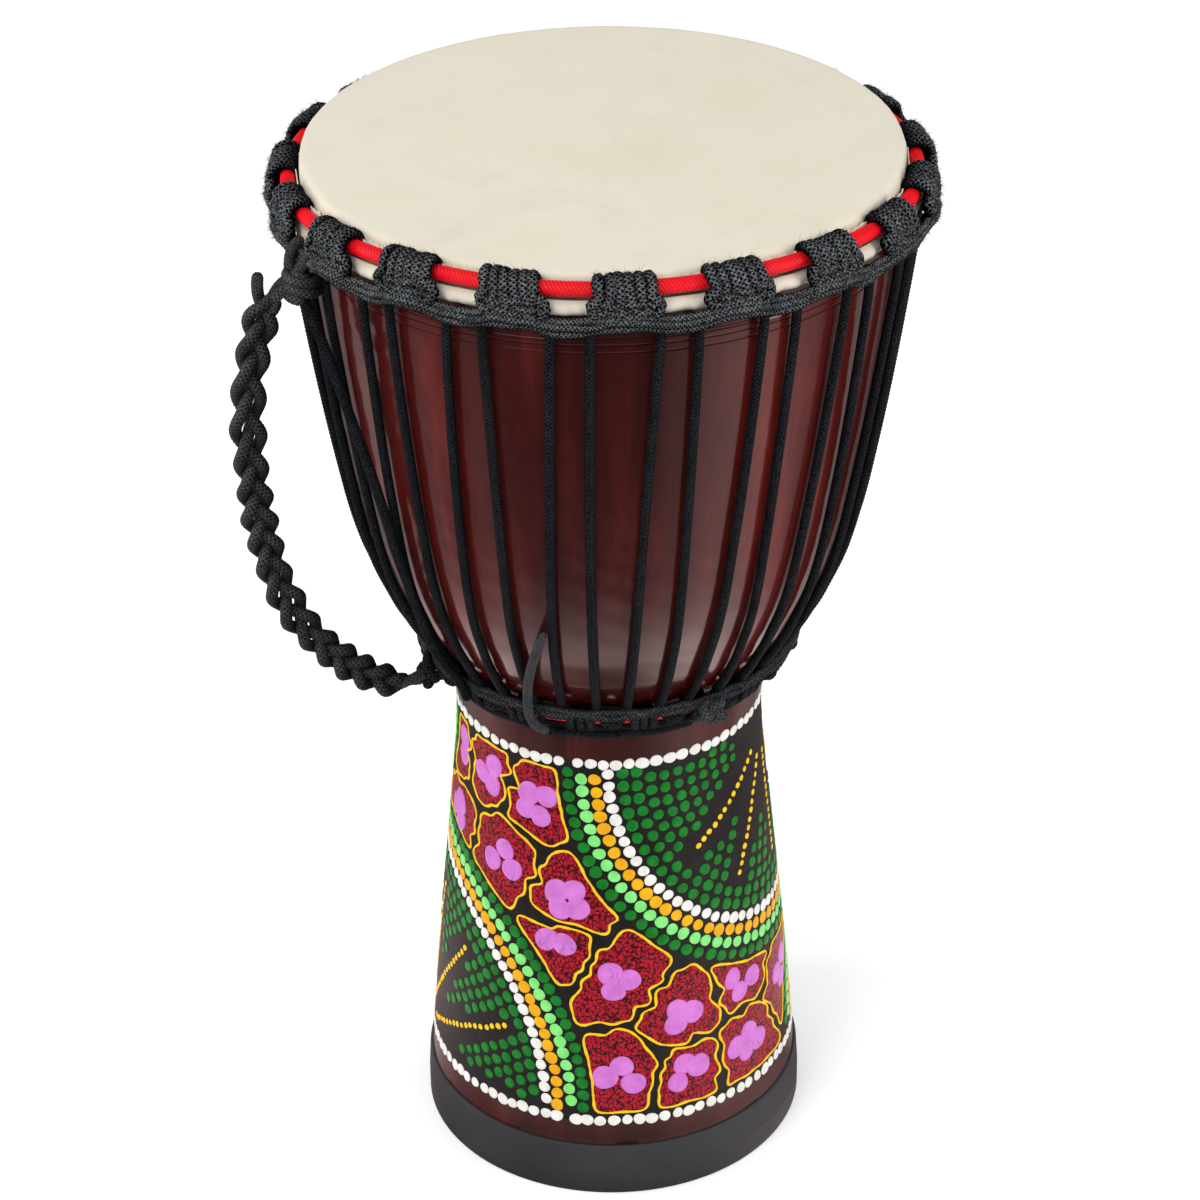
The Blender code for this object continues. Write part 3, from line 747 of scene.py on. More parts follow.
def dab_spot(mid_x, mid_y, start, many, laid, reach):
    """A spot for a pink dab, mostly touching another. None if sixty tries fail."""
    for _ in range(60):
        angle = start + tries.uniform(0, 6.28)
        off = 0.0 if many == 1 else tries.uniform(5.0, 10.0)
        x, y = mid_x + off * math.cos(angle), mid_y + off * math.sin(angle)
        wall = np.interp((math.atan2(y, x)) % (2 * PI), angles, reach)
        gaps = [math.hypot(x - x2, y - y2) for x2, y2 in laid]
        if wall - math.hypot(x, y) > 7.2 and (not gaps or 9.4 < min(gaps) < 15.5):
            return angle, x, y
    return None


cells, outlines = Pieces(), Pieces()
for index, (az, z) in enumerate(seeds):
    reach = cell_reach(index, az, z)
    if reach.mean() < 9:
        continue
    reach = np.convolve(np.concatenate([reach[-2:], reach, reach[:2]]),
                        np.array([1, 2, 3, 2, 1.0]) / 9, "valid")
    reach = np.maximum(reach, 3.5)
    edge_x, edge_y = reach * np.cos(angles), reach * np.sin(angles)
    layers = [on_stem(az, z, edge_x * share, edge_y * share, lift) for share, lift in
              ((0.35, 0.34), (0.6, 0.34), (0.8, 0.34), (0.93, 0.34), (0.985, 0.30), (1.0, -0.1))]
    first = 1 + np.arange(CELL_SIDES)
    cells.add(np.concatenate([on_stem(az, z, [0.0], [0.0], 0.34)] + layers), [
        1 + grid_quads(len(layers), CELL_SIDES, closed=False)[:, [0, 3, 2, 1]],
        np.stack([np.zeros(CELL_SIDES, int), first, np.roll(first, -1)], -1)])
    path = even(on_stem(az, z, edge_x, edge_y, 0.30), 0.9, True)
    step = np.arange(len(path))
    brush = 0.85 + 0.16 * np.sin(step * 0.31 + index) + 0.1 * np.sin(step * 0.83 + 2 * index)
    outlines.tube(path, brush * 0.55, 8, bump=0.0, closed=True, radial=True, wide=1.65)
    # pink dabs in the middle of the cell
    size = 0.5 * np.abs((edge_x * np.roll(edge_y, -1) - edge_y * np.roll(edge_x, -1)).sum())
    many = int(np.clip(round(size / 390.0 + tries.uniform(-0.6, 0.6)), 1, 4))
    start = tries.uniform(0, 6.28)
    laid = []
    for i in range(many):
        spot = dab_spot(edge_x.mean() * 0.6, edge_y.mean() * 0.6, start, many, laid, reach)
        if spot is None:
            continue
        angle, x, y = spot
        laid.append((x, y))
        size = tries.uniform(6.1, 7.2)
        dab(dots["pink"], *stem_place(az, z, x, y), size, size * tries.uniform(0.95, 1.12),
            0.72 + 0.05 * i, angle, 26, 0.05)
cells.build("cell_fills", CELL_PAINT, "drum", "stained_wood")
outlines.build("cell_outlines", PAINTS["yellow"], "drum", "stained_wood")
for colour, pieces in dots.items():
    pieces.build("dots_" + colour, PAINTS[colour], "drum", "stained_wood")


# ------------------------------------------------------------------ head
def sag(az):
    """How far the crown sits below its height at the camera's side: more, the further round."""
    away = np.abs(wrap(np.asarray(az, float) - VIEW_AZ))
    return 9.3 * ease((away - 25.0) / 70.0) + 3.6 * ease((away - 98.0) / 38.0)


def drop(path):
    """Lowers points by the crown's sag."""
    path = np.array(path, float)
    path[..., 2] -= sag(np.degrees(np.arctan2(path[..., 0], -path[..., 1])))
    return path


def gap_at(az):
    """1 in the middle of a gap between hitches, 0 behind a hitch."""
    return np.clip((4.7 - np.abs(wrap(az - GAP_AZ, PITCH))) / 2.6, 0, 1) ** 0.8


def skin_wobble(az, r, z):
    """The lip puffs out and pleats in the gaps, and the whole edge follows the sag."""
    gap = gap_at(az)
    lip = np.exp(-((np.hypot(r - 162.6, z - 585.0)) / 3.4) ** 2)
    puff = lip * (1.5 * gap - 0.35) * (0.9 + 0.35 * wander(az, 0 * z, 31, 8, (20, 90)))
    pleat = lip * gap * 0.42 * wander(az, z * 0.4, 33, 8, (70, 170))
    wave = 0.10 * wander(az, 0 * z, 35, 5, (1, 5)) * (r / 150) ** 2
    wave = np.where((z > 598.9) & (r < 150), wave, 0)
    edge = -0.18 * (1 - gap) + 0.08 * wander(az, 0 * z, 37, 7, (20, 80))
    edge = np.where((r > 149) & (z > 590) & (r < 156), edge, 0)
    down = np.clip((598.6 - z) / 10.0, 0, 1)
    return r + puff + pleat + edge, z + wave - puff * 0.55 - sag(az) * down


SKIN_SEGMENTS = 760
SKIN_Z = 599.6                  # mid-thickness of the flat head
SKIN_HALF = 0.4                 # half the thickness
BEAD_R, BEAD_Z, BEAD_SIZE = 159.6, 585.6, 3.75  # the skin curls round this ring below the crown
# (r, z) from the centre out over the edge
skin_line = [(r, SKIN_Z) for r in (0.5, 20, 40, 60, 80, 100, 115, 128, 138, 145, 149)]
skin_line += [(151.2, 599.55), (152.6, 599.2), (153.6, 598.5), (154.2, 597.5), (154.4, 596.2),
              (154.4, 593.5), (154.4, 590.5), (154.6, 588.6), (155.1, 586.8)]
skin_line += [(BEAD_R + BEAD_SIZE * math.cos(math.radians(a)),
               BEAD_Z + BEAD_SIZE * math.sin(math.radians(a))) for a in range(190, 450, 20)]
skin_line = np.array(skin_line)
tangent = unit(np.gradient(skin_line, axis=0))
normal = np.stack([-tangent[:, 1], tangent[:, 0]], -1)
sheet = np.concatenate([skin_line + normal * SKIN_HALF, (skin_line - normal * SKIN_HALF)[::-1]])
head = Pieces()
head.lathe(sheet, SKIN_SEGMENTS, skin_wobble, GAP_AZ, closed=False)
# the sheet is closed in the middle by a small cap on each side
head.add([(0, 0, SKIN_Z + SKIN_HALF), (0, 0, SKIN_Z - SKIN_HALF)], [])
here = np.arange(SKIN_SEGMENTS)
beside = (here + 1) % SKIN_SEGMENTS
last = (len(sheet) - 1) * SKIN_SEGMENTS
head.faces += [np.stack([beside, here, 0 * here + head.count - 2], -1),
               np.stack([last + here, last + beside, 0 * here + head.count - 1], -1)]
skin = head.build("head_skin", SKIN, None, "goatskin", ["drumhead"], flip=True, sharp=50)
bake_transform(skin)

# the skin's trimmed edge, standing up inside the crown hoop: (r, z, share of the raggedness)
TRIM = ((155.5, 587.0, 0), (155.55, 591.0, 0.3), (155.85, 595.0, 0.8), (156.1, 597.3, 1),
        (156.55, 597.25, 1), (156.4, 594.6, 0.8), (156.2, 590.6, 0.3), (156.1, 587.0, 0))
az = np.linspace(0, 360, 1521)[:-1]
ragged = 0.55 * wander(az, 0, 41, 9, (30, 190)) + 0.5 * wander(az, 0, 42, 5, (3, 14))
lean = 0.35 * wander(az, 0, 43, 7, (9, 40))
rows = [cyl(az, r + lean * share, z + ragged * share - sag(az) * (0.72 if z > 590 else 0.9))
        for r, z, share in TRIM]
trim = Pieces()
trim.add(np.stack(rows), [grid_quads(len(rows), len(az))])
trim.build("skin_trimmed_edge", SKIN, "hoop", "goatskin", flip=True)

# red wound hoops
ring_az = np.linspace(0, 360, 1441)
crown = Pieces()
crown.tube(even(drop(cyl(ring_az, CROWN_R, CROWN_Z)), 0.95, True), 3.75, 14, bump=0.2,
           closed=True, radial=True, net=False)
crown.build("crown_wrap_red", RED_WRAP, "hoop", "red_wrap",
            ["crown_ring_wrap", "crown_ring", "flesh_ring"])
waist = Pieces()
waist.tube(even(cyl(ring_az, WAIST_R, WAIST_Z), 0.95, True), 3.2, 12, bump=0.16, closed=True,
           radial=True, net=False)
waist.build("waist_wrap_red", RED_WRAP, "drum", "red_wrap", ["bottom_ring_wrap", "bottom_ring"])

# ------------------------------------------------------------------ crown cradle
TURN_OFFSETS = (-12.2, -7.4, -2.5, 2.5, 7.4, 12.2)  # turns of one hitch, mm round the drum
# up the outside of the hitch: (share of the tilt, splay, r, z)
HITCH_RISE = ((1.2, -1.6, 166.0, 579.2), (1.2, 0.2, 168.6, 582.4), (0.9, 2.6, 169.7, 586.4),
              (0.4, 3.6, 169.4, 590.4))
# then over the crown hoop: (angle, distance from the hoop's centre line)
HITCH_OVER = ((-4, 8.6), (22, 8.1), (50, 7.3), (78, 6.6), (104, 6.1), (130, 5.8), (156, 5.5),
              (182, 5.2), (205, 5.0))
cradle = Pieces()
fibres = []                     # (centre, rope radius, whether on a hitch turn)


def hitch_turn(middle, off, draw, tilt):
    """Places along one turn of rope over the crown hoop, off mm from the hitch's middle."""
    az = middle + arc(off, CRADLE_R)
    jitter = draw.uniform(-1, 1, 12)
    splay = (max(abs(off) - 1.0, 0.0) / 11.2) ** 1.15 * math.copysign(1.0, off)
    keys = []
    for i, (lean, spread, r, z) in enumerate(HITCH_RISE):
        shift = tilt * lean + spread * splay + 0.45 * jitter[i]
        keys.append((az + arc(shift, CRADLE_R), r + 0.45 * jitter[4 + i], z))
    swell = 1 + 0.05 * jitter[8]
    for degrees, distance in HITCH_OVER:
        a = math.radians(degrees)
        shift = (-tilt * 1.4 * math.sin(max(a, 0)) + 0.35 * jitter[9] * math.sin(a * 2)
                 + 0.3 * jitter[10])
        keys.append((az + arc(shift, CRADLE_R), CROWN_R + distance * swell * math.cos(a),
                     CROWN_Z + (distance * swell + 0.25 * jitter[11]) * math.sin(a)))
    return keys


for hitch in range(LOOPS):
    middle = GAP_AZ + PITCH / 2 + hitch * PITCH
    tilt = rng.uniform(0.2, 1.5)
    for n, off in enumerate(TURN_OFFSETS):
        draw = np.random.default_rng(900 + hitch * 10 + n)
        off += draw.uniform(-0.35, 0.35)
        path = drop(spline(hitch_turn(middle, off, draw, tilt), 1.05))
        u = np.linspace(0, 1, len(path))
        thick = (2.2 - 1.1 * np.clip((u - 0.70) / 0.30, 0, 1)
                 + 0.16 * np.sin(u * 23 + 2 * n) + 0.1 * np.sin(u * 61 + n))
        cradle.tube(path, thick, 10, bump=0.3, wide=2.85 / 2.2, rag=0.12, painted_side_shade=1.1)
        for _ in range(90):
            i = draw.integers(3, int(len(path) * 0.86))
            fibres.append((path[i], thick[i], True))
    # two strands woven across the outer face, over one turn and under the next
    for row, (z, r) in enumerate(((586.9, 170.5), (590.9, 170.4))):
        off = np.linspace(-13.6 + 0.9 * row, 13.6 - 0.9 * row, 60)
        weave = 0.85 * np.cos(PI * (off + 12.2) / 4.88 + PI * row)
        fall = np.clip((np.abs(off) - 11.6) / 2.4, 0, 1) ** 2
        height = z + 0.5 * np.sin(off * 0.5 + hitch + row) - 1.6 * fall + tilt * 0.05 * off
        path = drop(cyl(middle + arc(off, CRADLE_R), r + weave - 1.7 * fall, height))
        cradle.tube(even(path, 1.05), 1.62, 8, bump=0.28, radial=True, rag=0.12, painted_side_shade=1.3)
        fibres += [(path[rng.integers(2, 58)], 1.6, False) for _ in range(26)]

# garlands that hang in each gap and rise across each hitch: (r, z) in the gap, (r, z) at the
# hitch, rope radius
GARLANDS = (((167.6, 581.0), (171.0, 584.6), 1.75), ((168.0, 577.9), (171.8, 582.2), 1.95),
            ((166.6, 574.2), (169.8, 579.0), 1.95))
garland_az = np.linspace(0, 360, 4 * LOOPS * 8 + 1)
rise = ease((1 - np.cos(np.radians((garland_az - GAP_AZ) * LOOPS))) / 2)
for n, (low, high, thick) in enumerate(GARLANDS):
    r = low[0] + (high[0] - low[0]) * rise + 0.3 * wander(garland_az, 0, 51 + n, 6, (10, 60))
    z = low[1] + (high[1] - low[1]) * rise + 0.45 * wander(garland_az, 0, 61 + n, 6, (10, 60))
    path = even(drop(cyl(garland_az, r, z)), 1.05, True)
    cradle.tube(path, thick, 10, bump=0.28, closed=True, radial=True, rag=0.05, painted_side_shade=1.5)
    fibres += [(path[rng.integers(0, len(path))], thick, False) for _ in range(2200)]
cradle.build("crown_cradle", FUZZY_ROPE, "hoop", "black_rope", ["top_cradle_rope"])

# loose fibres standing off the cradle
fuzz = Pieces()
up = np.array([0, 0, 1.0])
u = np.linspace(0, 1, 5)[:, None]
for centre, thick, on_hitch in fibres:
    radial = unit(centre * [1, 1, 0])
    round_drum = np.cross(up, radial)
    hoop_z = CROWN_Z - sag(np.degrees(np.arctan2(centre[0], -centre[1])))
    over_hoop = on_hitch and centre[2] > hoop_z - 5
    out = unit(centre - (radial * CROWN_R + up * hoop_z)) if over_hoop else radial
    heading = unit(out + rng.normal(0, 0.7, 3))
    heading = unit(heading - min(2.0 * (heading @ radial), 0.0) * radial)  # none lean inwards
    start = centre + out * thick * 0.85 + round_drum * rng.uniform(-1.9, 1.9)
    length = min(rng.gamma(2.0, 0.7) + 0.5, 4.2)
    curl = unit(np.cross(heading, rng.normal(0, 1, 3)))
    path = start + heading * length * u + curl * length * 0.5 * u ** 2
    fuzz.tube(path, 0.11 * (1 - 0.75 * u[:, 0]), 3, bump=0, taper=(0, 0))
fuzz.build("crown_cradle_fuzz", FIBRES, "hoop", "black_rope")

# ------------------------------------------------------------------ tension rope
# (z, r) up a leg
LEG = [(325.0, 103.6), (333.0, 109.0), (341.0, 113.3), (350.0, 118.2), (362.0, 123.4),
       (374.0, 128.4), (386.0, 132.4), (405.0, 137.2), (430.0, 141.9), (460.0, 147.0),
       (490.0, 151.5), (520.0, 155.6), (550.0, 159.4), (566.0, 161.0)]
LEG_LOW, LEG_HIGH = LEG[0][0], LEG[-1][0]
TOP_HALF, LOW_HALF = 3.4, 4.5   # half the degrees between legs, at the crown and at the waist
# (az from the loop's middle, r, z) over the top, and down one side of the turn at the waist
TOP_BEND = ((-3.3, 161.3, 572.0), (-2.9, 161.8, 575.2), (-1.8, 162.1, 576.8), (0, 162.2, 577.0),
            (1.8, 162.1, 576.8), (2.9, 161.8, 575.2), (3.3, 161.3, 572.0))
LOW_BEND = ((4.3, 100.0, 320.4), (3.9, 98.3, 316.6), (2.8, 99.8, 313.8), (1.2, 102.6, 312.6))


def leg(middle, side):
    """Places up one leg of a loop. side is -1 or 1."""
    sway = rng.uniform(-0.45, 0.45)
    low = side * (PITCH / 2 - LOW_HALF) + LOW_TURN
    keys = []
    for z, r in LEG:
        u = (z - LEG_LOW) / (LEG_HIGH - LEG_LOW)
        az = middle + low + (side * TOP_HALF - low) * u + sway * math.sin(PI * u)
        keys.append((az, r, z - sag(az) * u ** 3))
    return keys


keys = []
for i in range(LOOPS):
    middle = GAP_AZ + i * PITCH
    keys += leg(middle, -1)
    keys += [(middle + off, r, z - sag(middle + off)) for off, r, z in TOP_BEND]
    keys += leg(middle, 1)[::-1]
    turn = middle + PITCH / 2 + LOW_TURN
    keys += [(turn - off, r, z) for off, r, z in LOW_BEND]
    if i < LOOPS - 1:
        keys += [(turn + off, r, z) for off, r, z in LOW_BEND[::-1]]
tension = Pieces()
tension.tube(spline(keys, 1.15), 2.42, 10, bump=0.17, radial=True)
tension = tension.build("tension_rope_run", BLACK_ROPE, None, "black_rope", ["tension_rope"])
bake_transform(tension)

# ------------------------------------------------------------------ waist ropes
# under the waist hoop and up inside: (angle, distance from the hoop's centre line)
WAIST_UNDER = ((-10, 5.9), (-40, 5.6), (-75, 5.3), (-110, 5.0), (-145, 4.9), (-180, 4.9),
               (-215, 5.0), (-245, 5.2))
waist = Pieces()
for hitch in range(LOOPS):
    middle = GAP_AZ + LOW_TURN + hitch * PITCH
    for off in (-4.7, 0.0, 4.7):
        az = middle + arc(off, WAIST_CRADLE_R) + rng.uniform(-0.25, 0.25)
        keys = [(az + arc(off * 0.25, WAIST_CRADLE_R), 102.2, 321.0), (az, 102.9, 317.0),
                (az, 101.4, 313.2)]
        for degrees, distance in WAIST_UNDER:
            a = math.radians(degrees)
            keys.append((az + rng.uniform(-0.15, 0.15), WAIST_R + distance * math.cos(a),
                         WAIST_Z + distance * math.sin(a)))
        waist.tube(spline(keys, 1.05), 1.95, 10, bump=0.22, wide=1.2, painted_side_shade=1.0)
rise = (1 + np.cos(np.radians((garland_az - GAP_AZ - LOW_TURN) * LOOPS))) / 2
for n, (r, z) in enumerate(((103.9, 316.9), (103.3, 320.2))):
    r = r - 0.4 * rise + 0.25 * wander(garland_az, 0, 71 + n, 6, (10, 50))
    z = z + 1.1 * rise * (1 - 2 * n) + 0.3 * wander(garland_az, 0, 75 + n, 6, (10, 50))
    waist.tube(even(cyl(garland_az, r, z), 1.05, True), 1.95, 10, bump=0.22, closed=True,
               radial=True, painted_side_shade=1.3)
waist.build("waist_cradle", WAIST_ROPE, "drum", "black_rope", ["bottom_cradle_rope"])

# two turns below the waist hoop, the second one lower, and a short piece rising to the tail
az = np.linspace(42.0, 762.0, 1500)
second = ease((az - 372.0) / 60.0)
r = 89.6 + (89.2 - 89.6) * second + 0.15 * wander(az, 0, 81, 6, (3, 30))
z = 303.2 + (298.1 - 303.2) * second + 0.35 * wander(az, 0, 82, 6, (3, 20))
tail_in = cyl([-3.6, -5.2, -6.2, -6.8], [90.6, 93.6, 97.2, 100.4], [298.1, 299.4, 301.9, 304.6])
turns = Pieces()
turns.tube(even(cyl(az, r, z), 1.1), 2.5, 10, radial=True)
turns.tube(even(tail_in, 1.0), 2.5, 10)
turns.build("waist_turns", BLACK_ROPE, "drum", "black_rope", ["waist_wrap_rope"])


def local(az, r, z, points):
    """Points given as (round the drum, outwards, up) from a place, as xyz."""
    a = math.radians(az)
    out, round_drum = [math.sin(a), -math.cos(a), 0], [math.cos(a), math.sin(a), 0]
    return cyl(az, r, z) + np.asarray(points, float) @ np.array([round_drum, out, [0, 0, 1.0]])


def overhand(size):
    """The closed part of an overhand (trefoil) knot, about size in radius."""
    t = np.linspace(0, 2 * PI, 60, endpoint=False)
    x = np.sin(t) + 2 * np.sin(2 * t)
    y = np.cos(t) - 2 * np.cos(2 * t)
    return np.stack([x, -np.sin(3 * t) * 1.15, y], -1) * size / 3.0


knot = Pieces()
knot.tube(even(local(42.5, 106.6, 313.6, overhand(6.3) * [1, 0.8, 1.0]), 1.0, True), 2.6, 10,
          closed=True)
# one end comes out of the turns below, the other is cut short and faces outwards
knot.tube(spline([(41.0, 90.4, 303.0), (40.4, 94.4, 303.4), (41.0, 99.6, 306.4),
                  (42.2, 103.8, 311.2)], 1.0), 2.5, 10)
knot.tube(spline([(43.0, 105.4, 315.0), (43.9, 108.6, 313.4), (44.6, 111.6, 311.2),
                  (45.0, 113.4, 309.2)], 1.0), 2.6, 10, taper=(1, 0.45))
knot.build("waist_stopper_knot", HANDLE_ROPE, "drum", "black_rope", ["waist_knot"])

TAIL = [(-6.4, 100.6, 304.8), (-8.2, 103.0, 306.4), (-9.8, 106.2, 311.0), (-10.6, 109.8, 320.0),
        (-9.8, 114.6, 333.0), (-7.6, 122.6, 351.0), (-4.6, 131.8, 370.0), (-1.6, 138.8, 389.0)]
path = spline(TAIL, 1.05)
u = np.linspace(0, 1, len(path))
tail = Pieces()
tail.tube(path, 2.5 - 1.3 * np.clip((u - 0.86) / 0.14, 0, 1) ** 1.5)
tail.build("loose_tail", HANDLE_ROPE, "tail", "black_rope", ["rope_tail"])


# ------------------------------------------------------------------ handle
def cord(pieces, radius, keys, **shape):
    """A cord through (az from the handle's, r, z)."""
    path = spline([(HANDLE_AZ + off, r, z) for off, r, z in keys], 1.0)
    pieces.tube(path, radius, **shape)


knot = Pieces()
path = local(HANDLE_AZ + 1.0, 173.0, 565.5, overhand(7.2) * [1.0, 0.85, 0.6])
knot.tube(even(path, 1.0, True), 2.9, bump=0.2, closed=True, painted_side_shade=0.9)
# nearly three wraps round the knot's waist
a = np.linspace(0.4, 2 * PI * 2.75, 150)
wraps = np.stack([7.9 * np.cos(a), 7.2 * np.sin(a),
                  -6.6 + 5.0 * a / (2 * PI) + 1.0 * np.sin(a + 0.6)], -1)
knot.tube(even(local(HANDLE_AZ + 1.4, 171.6, 562.0, wraps), 1.0), 2.8, bump=0.2, painted_side_shade=0.9)
# the cord comes down from the cradle in two parts and is tied off in the knot
for keys in (((4.0, 165.6, 583.0), (3.0, 170.6, 577.5), (1.8, 173.6, 570.0), (1.0, 173.6, 563.0)),
             ((-1.4, 166.2, 583.0), (-2.2, 171.4, 577.0), (-0.9, 175.0, 569.5),
              (0.8, 174.6, 563.0))):
    cord(knot, 2.8, keys, bump=0.2)
knot.build("handle_knot_crown", HANDLE_ROPE, "hoop", "black_rope", ["handle_top_knot"])

knot = Pieces()
path = local(HANDLE_AZ, 109.6, 312.6, overhand(6.2) * [1.0, 0.8, 0.85])
knot.tube(even(path, 1.0, True), 2.75, closed=True)
for keys in (((6.0, 100.8, 316.0), (3.5, 105.6, 314.5), (0.5, 109.0, 312.5)),
             ((-7.0, 101.6, 319.5), (-3.5, 107.0, 319.0), (-0.5, 110.0, 313.5))):
    cord(knot, 2.6, keys)
knot.build("handle_knot_waist", BLACK_ROPE, "drum", "black_rope", ["handle_bottom_knot"])

ANCHOR = [(-49.2, 172.0, 557.0), (-47.8, 168.6, 545.0), (-44.6, 163.4, 518.0),
          (-38.7, 153.4, 460.0), (-35.4, 144.0, 408.0), (-35.6, 124.9, 351.0),
          (-33.6, 110.6, 324.0), (-32.2, 107.4, 312.0)]
anchor = Pieces()
anchor.tube(spline(ANCHOR, 1.1), 2.6)
anchor = anchor.build("handle_anchor_cord", BLACK_ROPE, None, "black_rope",
                      ["handle_anchor_rope"])
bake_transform(anchor)

# (r, z) down the middle of the plait
PLAIT = [(183.0, 556.0), (187.6, 553.5), (192.6, 546.5), (196.3, 535.0), (201.0, 516.0),
         (203.6, 492.0), (203.4, 466.0), (201.6, 440.0), (197.6, 415.0), (191.6, 391.0),
         (182.0, 368.5), (169.6, 349.5), (154.6, 332.5), (141.0, 321.0), (130.5, 314.6),
         (122.0, 312.6)]
path = spline([(HANDLE_AZ, r, z) for r, z in PLAIT], 0.8)
handle_angle = math.radians(HANDLE_AZ)
across = np.array([math.cos(handle_angle), math.sin(handle_angle), 0.0])
outwards = np.cross(unit(np.gradient(path, axis=0)), across)
u = np.linspace(0, 1, len(path))
fade = ease(np.minimum((u + 0.012) / 0.06, (1.012 - u) / 0.06))
# a loose plait: small holes stay open, and its crossings close up a little lower down
swing = 6.3 + 0.4 * np.sin(u * 31)
rate = 5.0 + 0.7 * np.clip((u - 0.30) / 0.3, 0, 1)
crossings = np.concatenate([[0], np.cumsum((rate[1:] + rate[:-1]) / 2 * np.diff(u))])
plait = Pieces()
for n in range(3):
    a = 2 * PI * (crossings + 0.05 * np.sin(2 * PI * u * 2.3) + n / 3)
    strand = (path + outwards * (np.sin(a) * swing * fade)[:, None]
              + across * (np.sin(2 * a) * 2.9 * fade)[:, None])
    plait.tube(even(strand, 1.05), 3.15, bump=0.2, painted_side_shade=0.9)
# the cut end standing up at the top, then the cords from the plait into both knots
cord(plait, 3.0, ((-1.6, 187.5, 545.0), (-2.0, 190.6, 554.0), (-1.6, 191.8, 562.0),
                  (-1.2, 191.6, 569.0)), bump=0.2, taper=(1, 0.5))
for radius, keys in (
        (2.9, ((0.6, 188.5, 549.0), (0.7, 185.6, 557.0), (0.8, 180.4, 560.8), (1.0, 174.6, 561.6))),
        (2.9, ((-0.9, 187.0, 551.5), (-0.8, 183.0, 558.6), (-0.2, 178.6, 563.6),
               (0.8, 174.0, 563.6))),
        (2.7, ((1.4, 128.0, 313.6), (1.8, 121.0, 315.6), (1.0, 115.0, 315.4), (0.2, 110.0, 312.9))),
        (2.7, ((-1.6, 128.0, 312.6), (-2.2, 120.5, 310.0), (-1.2, 114.5, 309.6),
               (-0.2, 110.0, 311.6)))):
    cord(plait, radius, keys, bump=0.2)
plait.build("handle_plait", HANDLE_ROPE, "handle", "black_rope", ["handle_braid"])

# ------------------------------------------------------------------ stage, light, camera
scene = bpy.context.scene
scene.view_settings.view_transform = "Standard"
# painted reflections, the floor's glow that the lacquer sees: (degrees round from the camera, half
# width, level)
FLOOR_GLOWS = ((56, 25, 0.95), (-100, 26, 0.62), (-52, 10, 0.25), (112, 14, 0.5), (180, 40, 0.4))


def floor_material():
    """Pale everywhere, but glossy rays see glowing sectors instead: painted reflections, as of
    lamps between flags in a studio.
    """
    graph = Graph("pale_floor")
    place = graph.node("ShaderNodeTexCoord").outputs["Object"]
    xyz = graph.node("ShaderNodeSeparateXYZ", Vector=place).outputs
    angle = graph.azimuth(xyz)
    glow = None
    for turn, half, level in FLOOR_GLOWS:
        away = graph.math("SUBTRACT", angle, math.radians(VIEW_AZ + turn))
        away = graph.math("ARCCOSINE", graph.math("COSINE", away))
        away = graph.math("DIVIDE", away, math.radians(half * 1.7))
        bell = graph.math("SUBTRACT", 1.0, away, clamp=True)
        bell = graph.math("MULTIPLY", bell, level * 1.3, clamp=True)
        glow = bell if glow is None else graph.math("MAXIMUM", glow, bell)
    glow = graph.math("MULTIPLY_ADD", glow, 0.95, 0.015)
    near = graph.node("ShaderNodeVectorMath", _operation="LENGTH", i0=place).outputs["Value"]
    pool = graph.math("SUBTRACT", 1.0, graph.math("DIVIDE", near, 0.75), clamp=True)
    # a glowing ring close to the foot, seen only in reflections, is a painted reflection on the
    # underside of the bowl and leaves the foot's reflection dark
    ring = graph.math("SUBTRACT", 1.0, graph.math("DIVIDE", near, 0.58), clamp=True)
    ring = graph.math("POWER", ring, 2.0)
    ring = graph.math("MULTIPLY", ring, graph.rise(near, 0.160, 25.0))
    near_glow = graph.math("ADD", graph.math("MULTIPLY", pool, 0.18),
                           graph.math("MULTIPLY", ring, 3.1))
    glow = graph.math("ADD", glow, near_glow)
    tone = graph.ramp(graph.noise(3, 2.0), (0.3, (0.86, 0.86, 0.86)), (0.7, (0.88, 0.88, 0.88)))
    graph.set(Base_Color=tone, Roughness=0.8, Specular_IOR_Level=0.1)
    lift = graph.node("ShaderNodeEmission", Color=(1, 1, 1), Strength=0.22)
    shine = graph.node("ShaderNodeEmission", Color=(1, 0.80, 0.78), Strength=glow)
    seen = graph.node("ShaderNodeAddShader", i0=graph.shader.outputs[0], i1=lift.outputs[0])
    glossy = graph.node("ShaderNodeLightPath").outputs["Is Glossy Ray"]
    pick = graph.node("ShaderNodeMixShader", Fac=glossy, i1=seen.outputs[0],
                      i2=shine.outputs[0])
    graph.put(graph.tree.nodes["Material Output"].inputs["Surface"], pick.outputs[0])
    return graph.material


def build_floor(half, z):
    material = floor_material()
    mesh = bpy.data.meshes.new("studio_floor")
    corners = [(-half, -half, z), (half, -half, z), (half, half, z), (-half, half, z)]
    mesh.from_pydata(corners, [], [(0, 1, 2, 3)])
    mesh.materials.append(material)
    floor = bpy.data.objects.new("studio_floor", mesh)
    scene.collection.objects.link(floor)


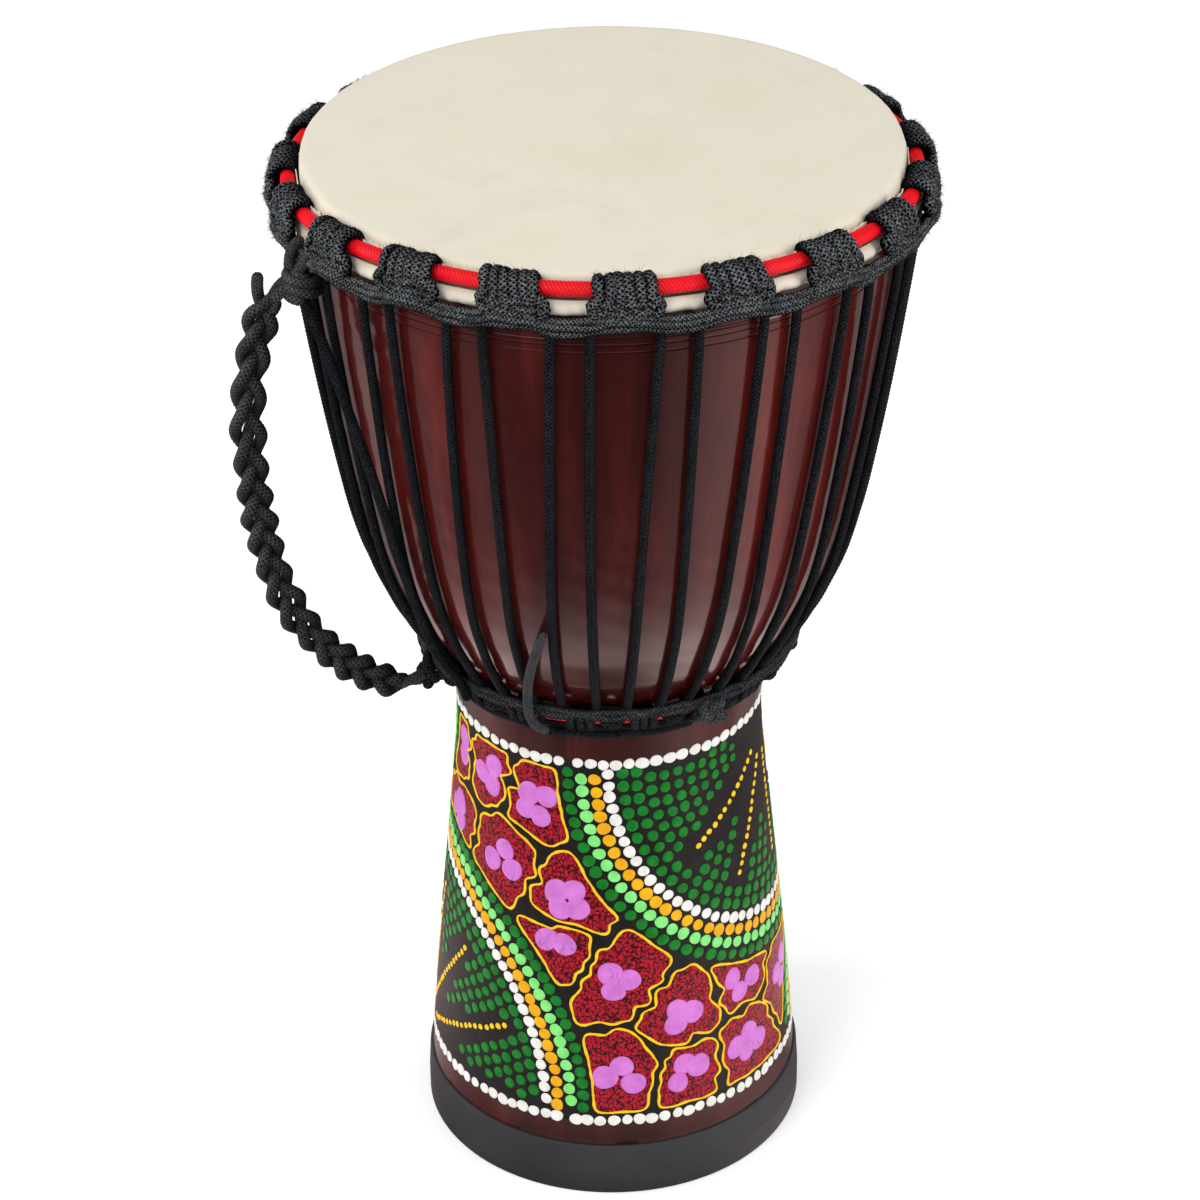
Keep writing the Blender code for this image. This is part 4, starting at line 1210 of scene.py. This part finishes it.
def build_world():
    """A bright room that glossy rays see dimmed."""
    world = bpy.data.worlds.new("studio")
    scene.world = world
    world.use_nodes = True
    nodes, links = world.node_tree.nodes, world.node_tree.links
    bright, dim = nodes["Background"], nodes.new("ShaderNodeBackground")
    for node, colour, strength in ((bright, (0.97, 0.985, 1.0, 1), 0.85),
                                   (dim, (0.9, 0.93, 1.0, 1), 0.11)):
        node.inputs["Color"].default_value = colour
        node.inputs["Strength"].default_value = strength
    rays, pick = nodes.new("ShaderNodeLightPath"), nodes.new("ShaderNodeMixShader")
    links.new(rays.outputs["Is Glossy Ray"], pick.inputs[0])
    links.new(bright.outputs[0], pick.inputs[1])
    links.new(dim.outputs[0], pick.inputs[2])
    links.new(pick.outputs[0], nodes["World Output"].inputs["Surface"])


def area_light(name, turn, distance, z, target_z, width, height, power):
    """A panel turn degrees round from the camera, facing the drum's axis. Metres and watts."""
    light = bpy.data.lights.new(name, "AREA")
    light.shape = "RECTANGLE"
    light.size, light.size_y, light.energy = width, height, power
    panel = bpy.data.objects.new(name, light)
    a = math.radians(VIEW_AZ + turn)
    panel.location = (distance * math.sin(a), -distance * math.cos(a), z)
    aim = Vector((0, 0, target_z)) - panel.location
    panel.rotation_euler = aim.to_track_quat("-Z", "Y").to_euler()
    scene.collection.objects.link(panel)


def build_camera(distance, z, pitch, roll):
    """distance and z in metres; pitch up from straight down and roll in degrees."""
    lens = bpy.data.cameras.new("camera")
    lens.lens, lens.sensor_width = 113.13, 36.0
    lens.shift_x = -0.00666667
    lens.clip_start, lens.clip_end = 0.05, 60.0
    camera = bpy.data.objects.new("camera", lens)
    a = math.radians(VIEW_AZ)
    turn = Euler((math.radians(pitch), 0, a)).to_matrix().to_4x4()
    turn = turn @ Matrix.Rotation(math.radians(roll), 4, "Z")
    place = Matrix.Translation((distance * math.sin(a), -distance * math.cos(a), z))
    camera.matrix_world = place @ turn
    scene.collection.objects.link(camera)
    scene.camera = camera


build_floor(half=12.0, z=-0.0002)
build_world()
area_light("key", turn=-35, distance=2.2, z=2.4, target_z=0.3, width=1.4, height=1.4, power=34)
area_light("right_strip", turn=62, distance=1.9, z=0.9, target_z=0.35, width=0.5, height=1.8,
           power=16)
area_light("left_strip", turn=-90, distance=1.9, z=0.9, target_z=0.35, width=0.35, height=1.8,
           power=12)
build_camera(distance=1.7664, z=1.3884, pitch=59.0, roll=-0.69)
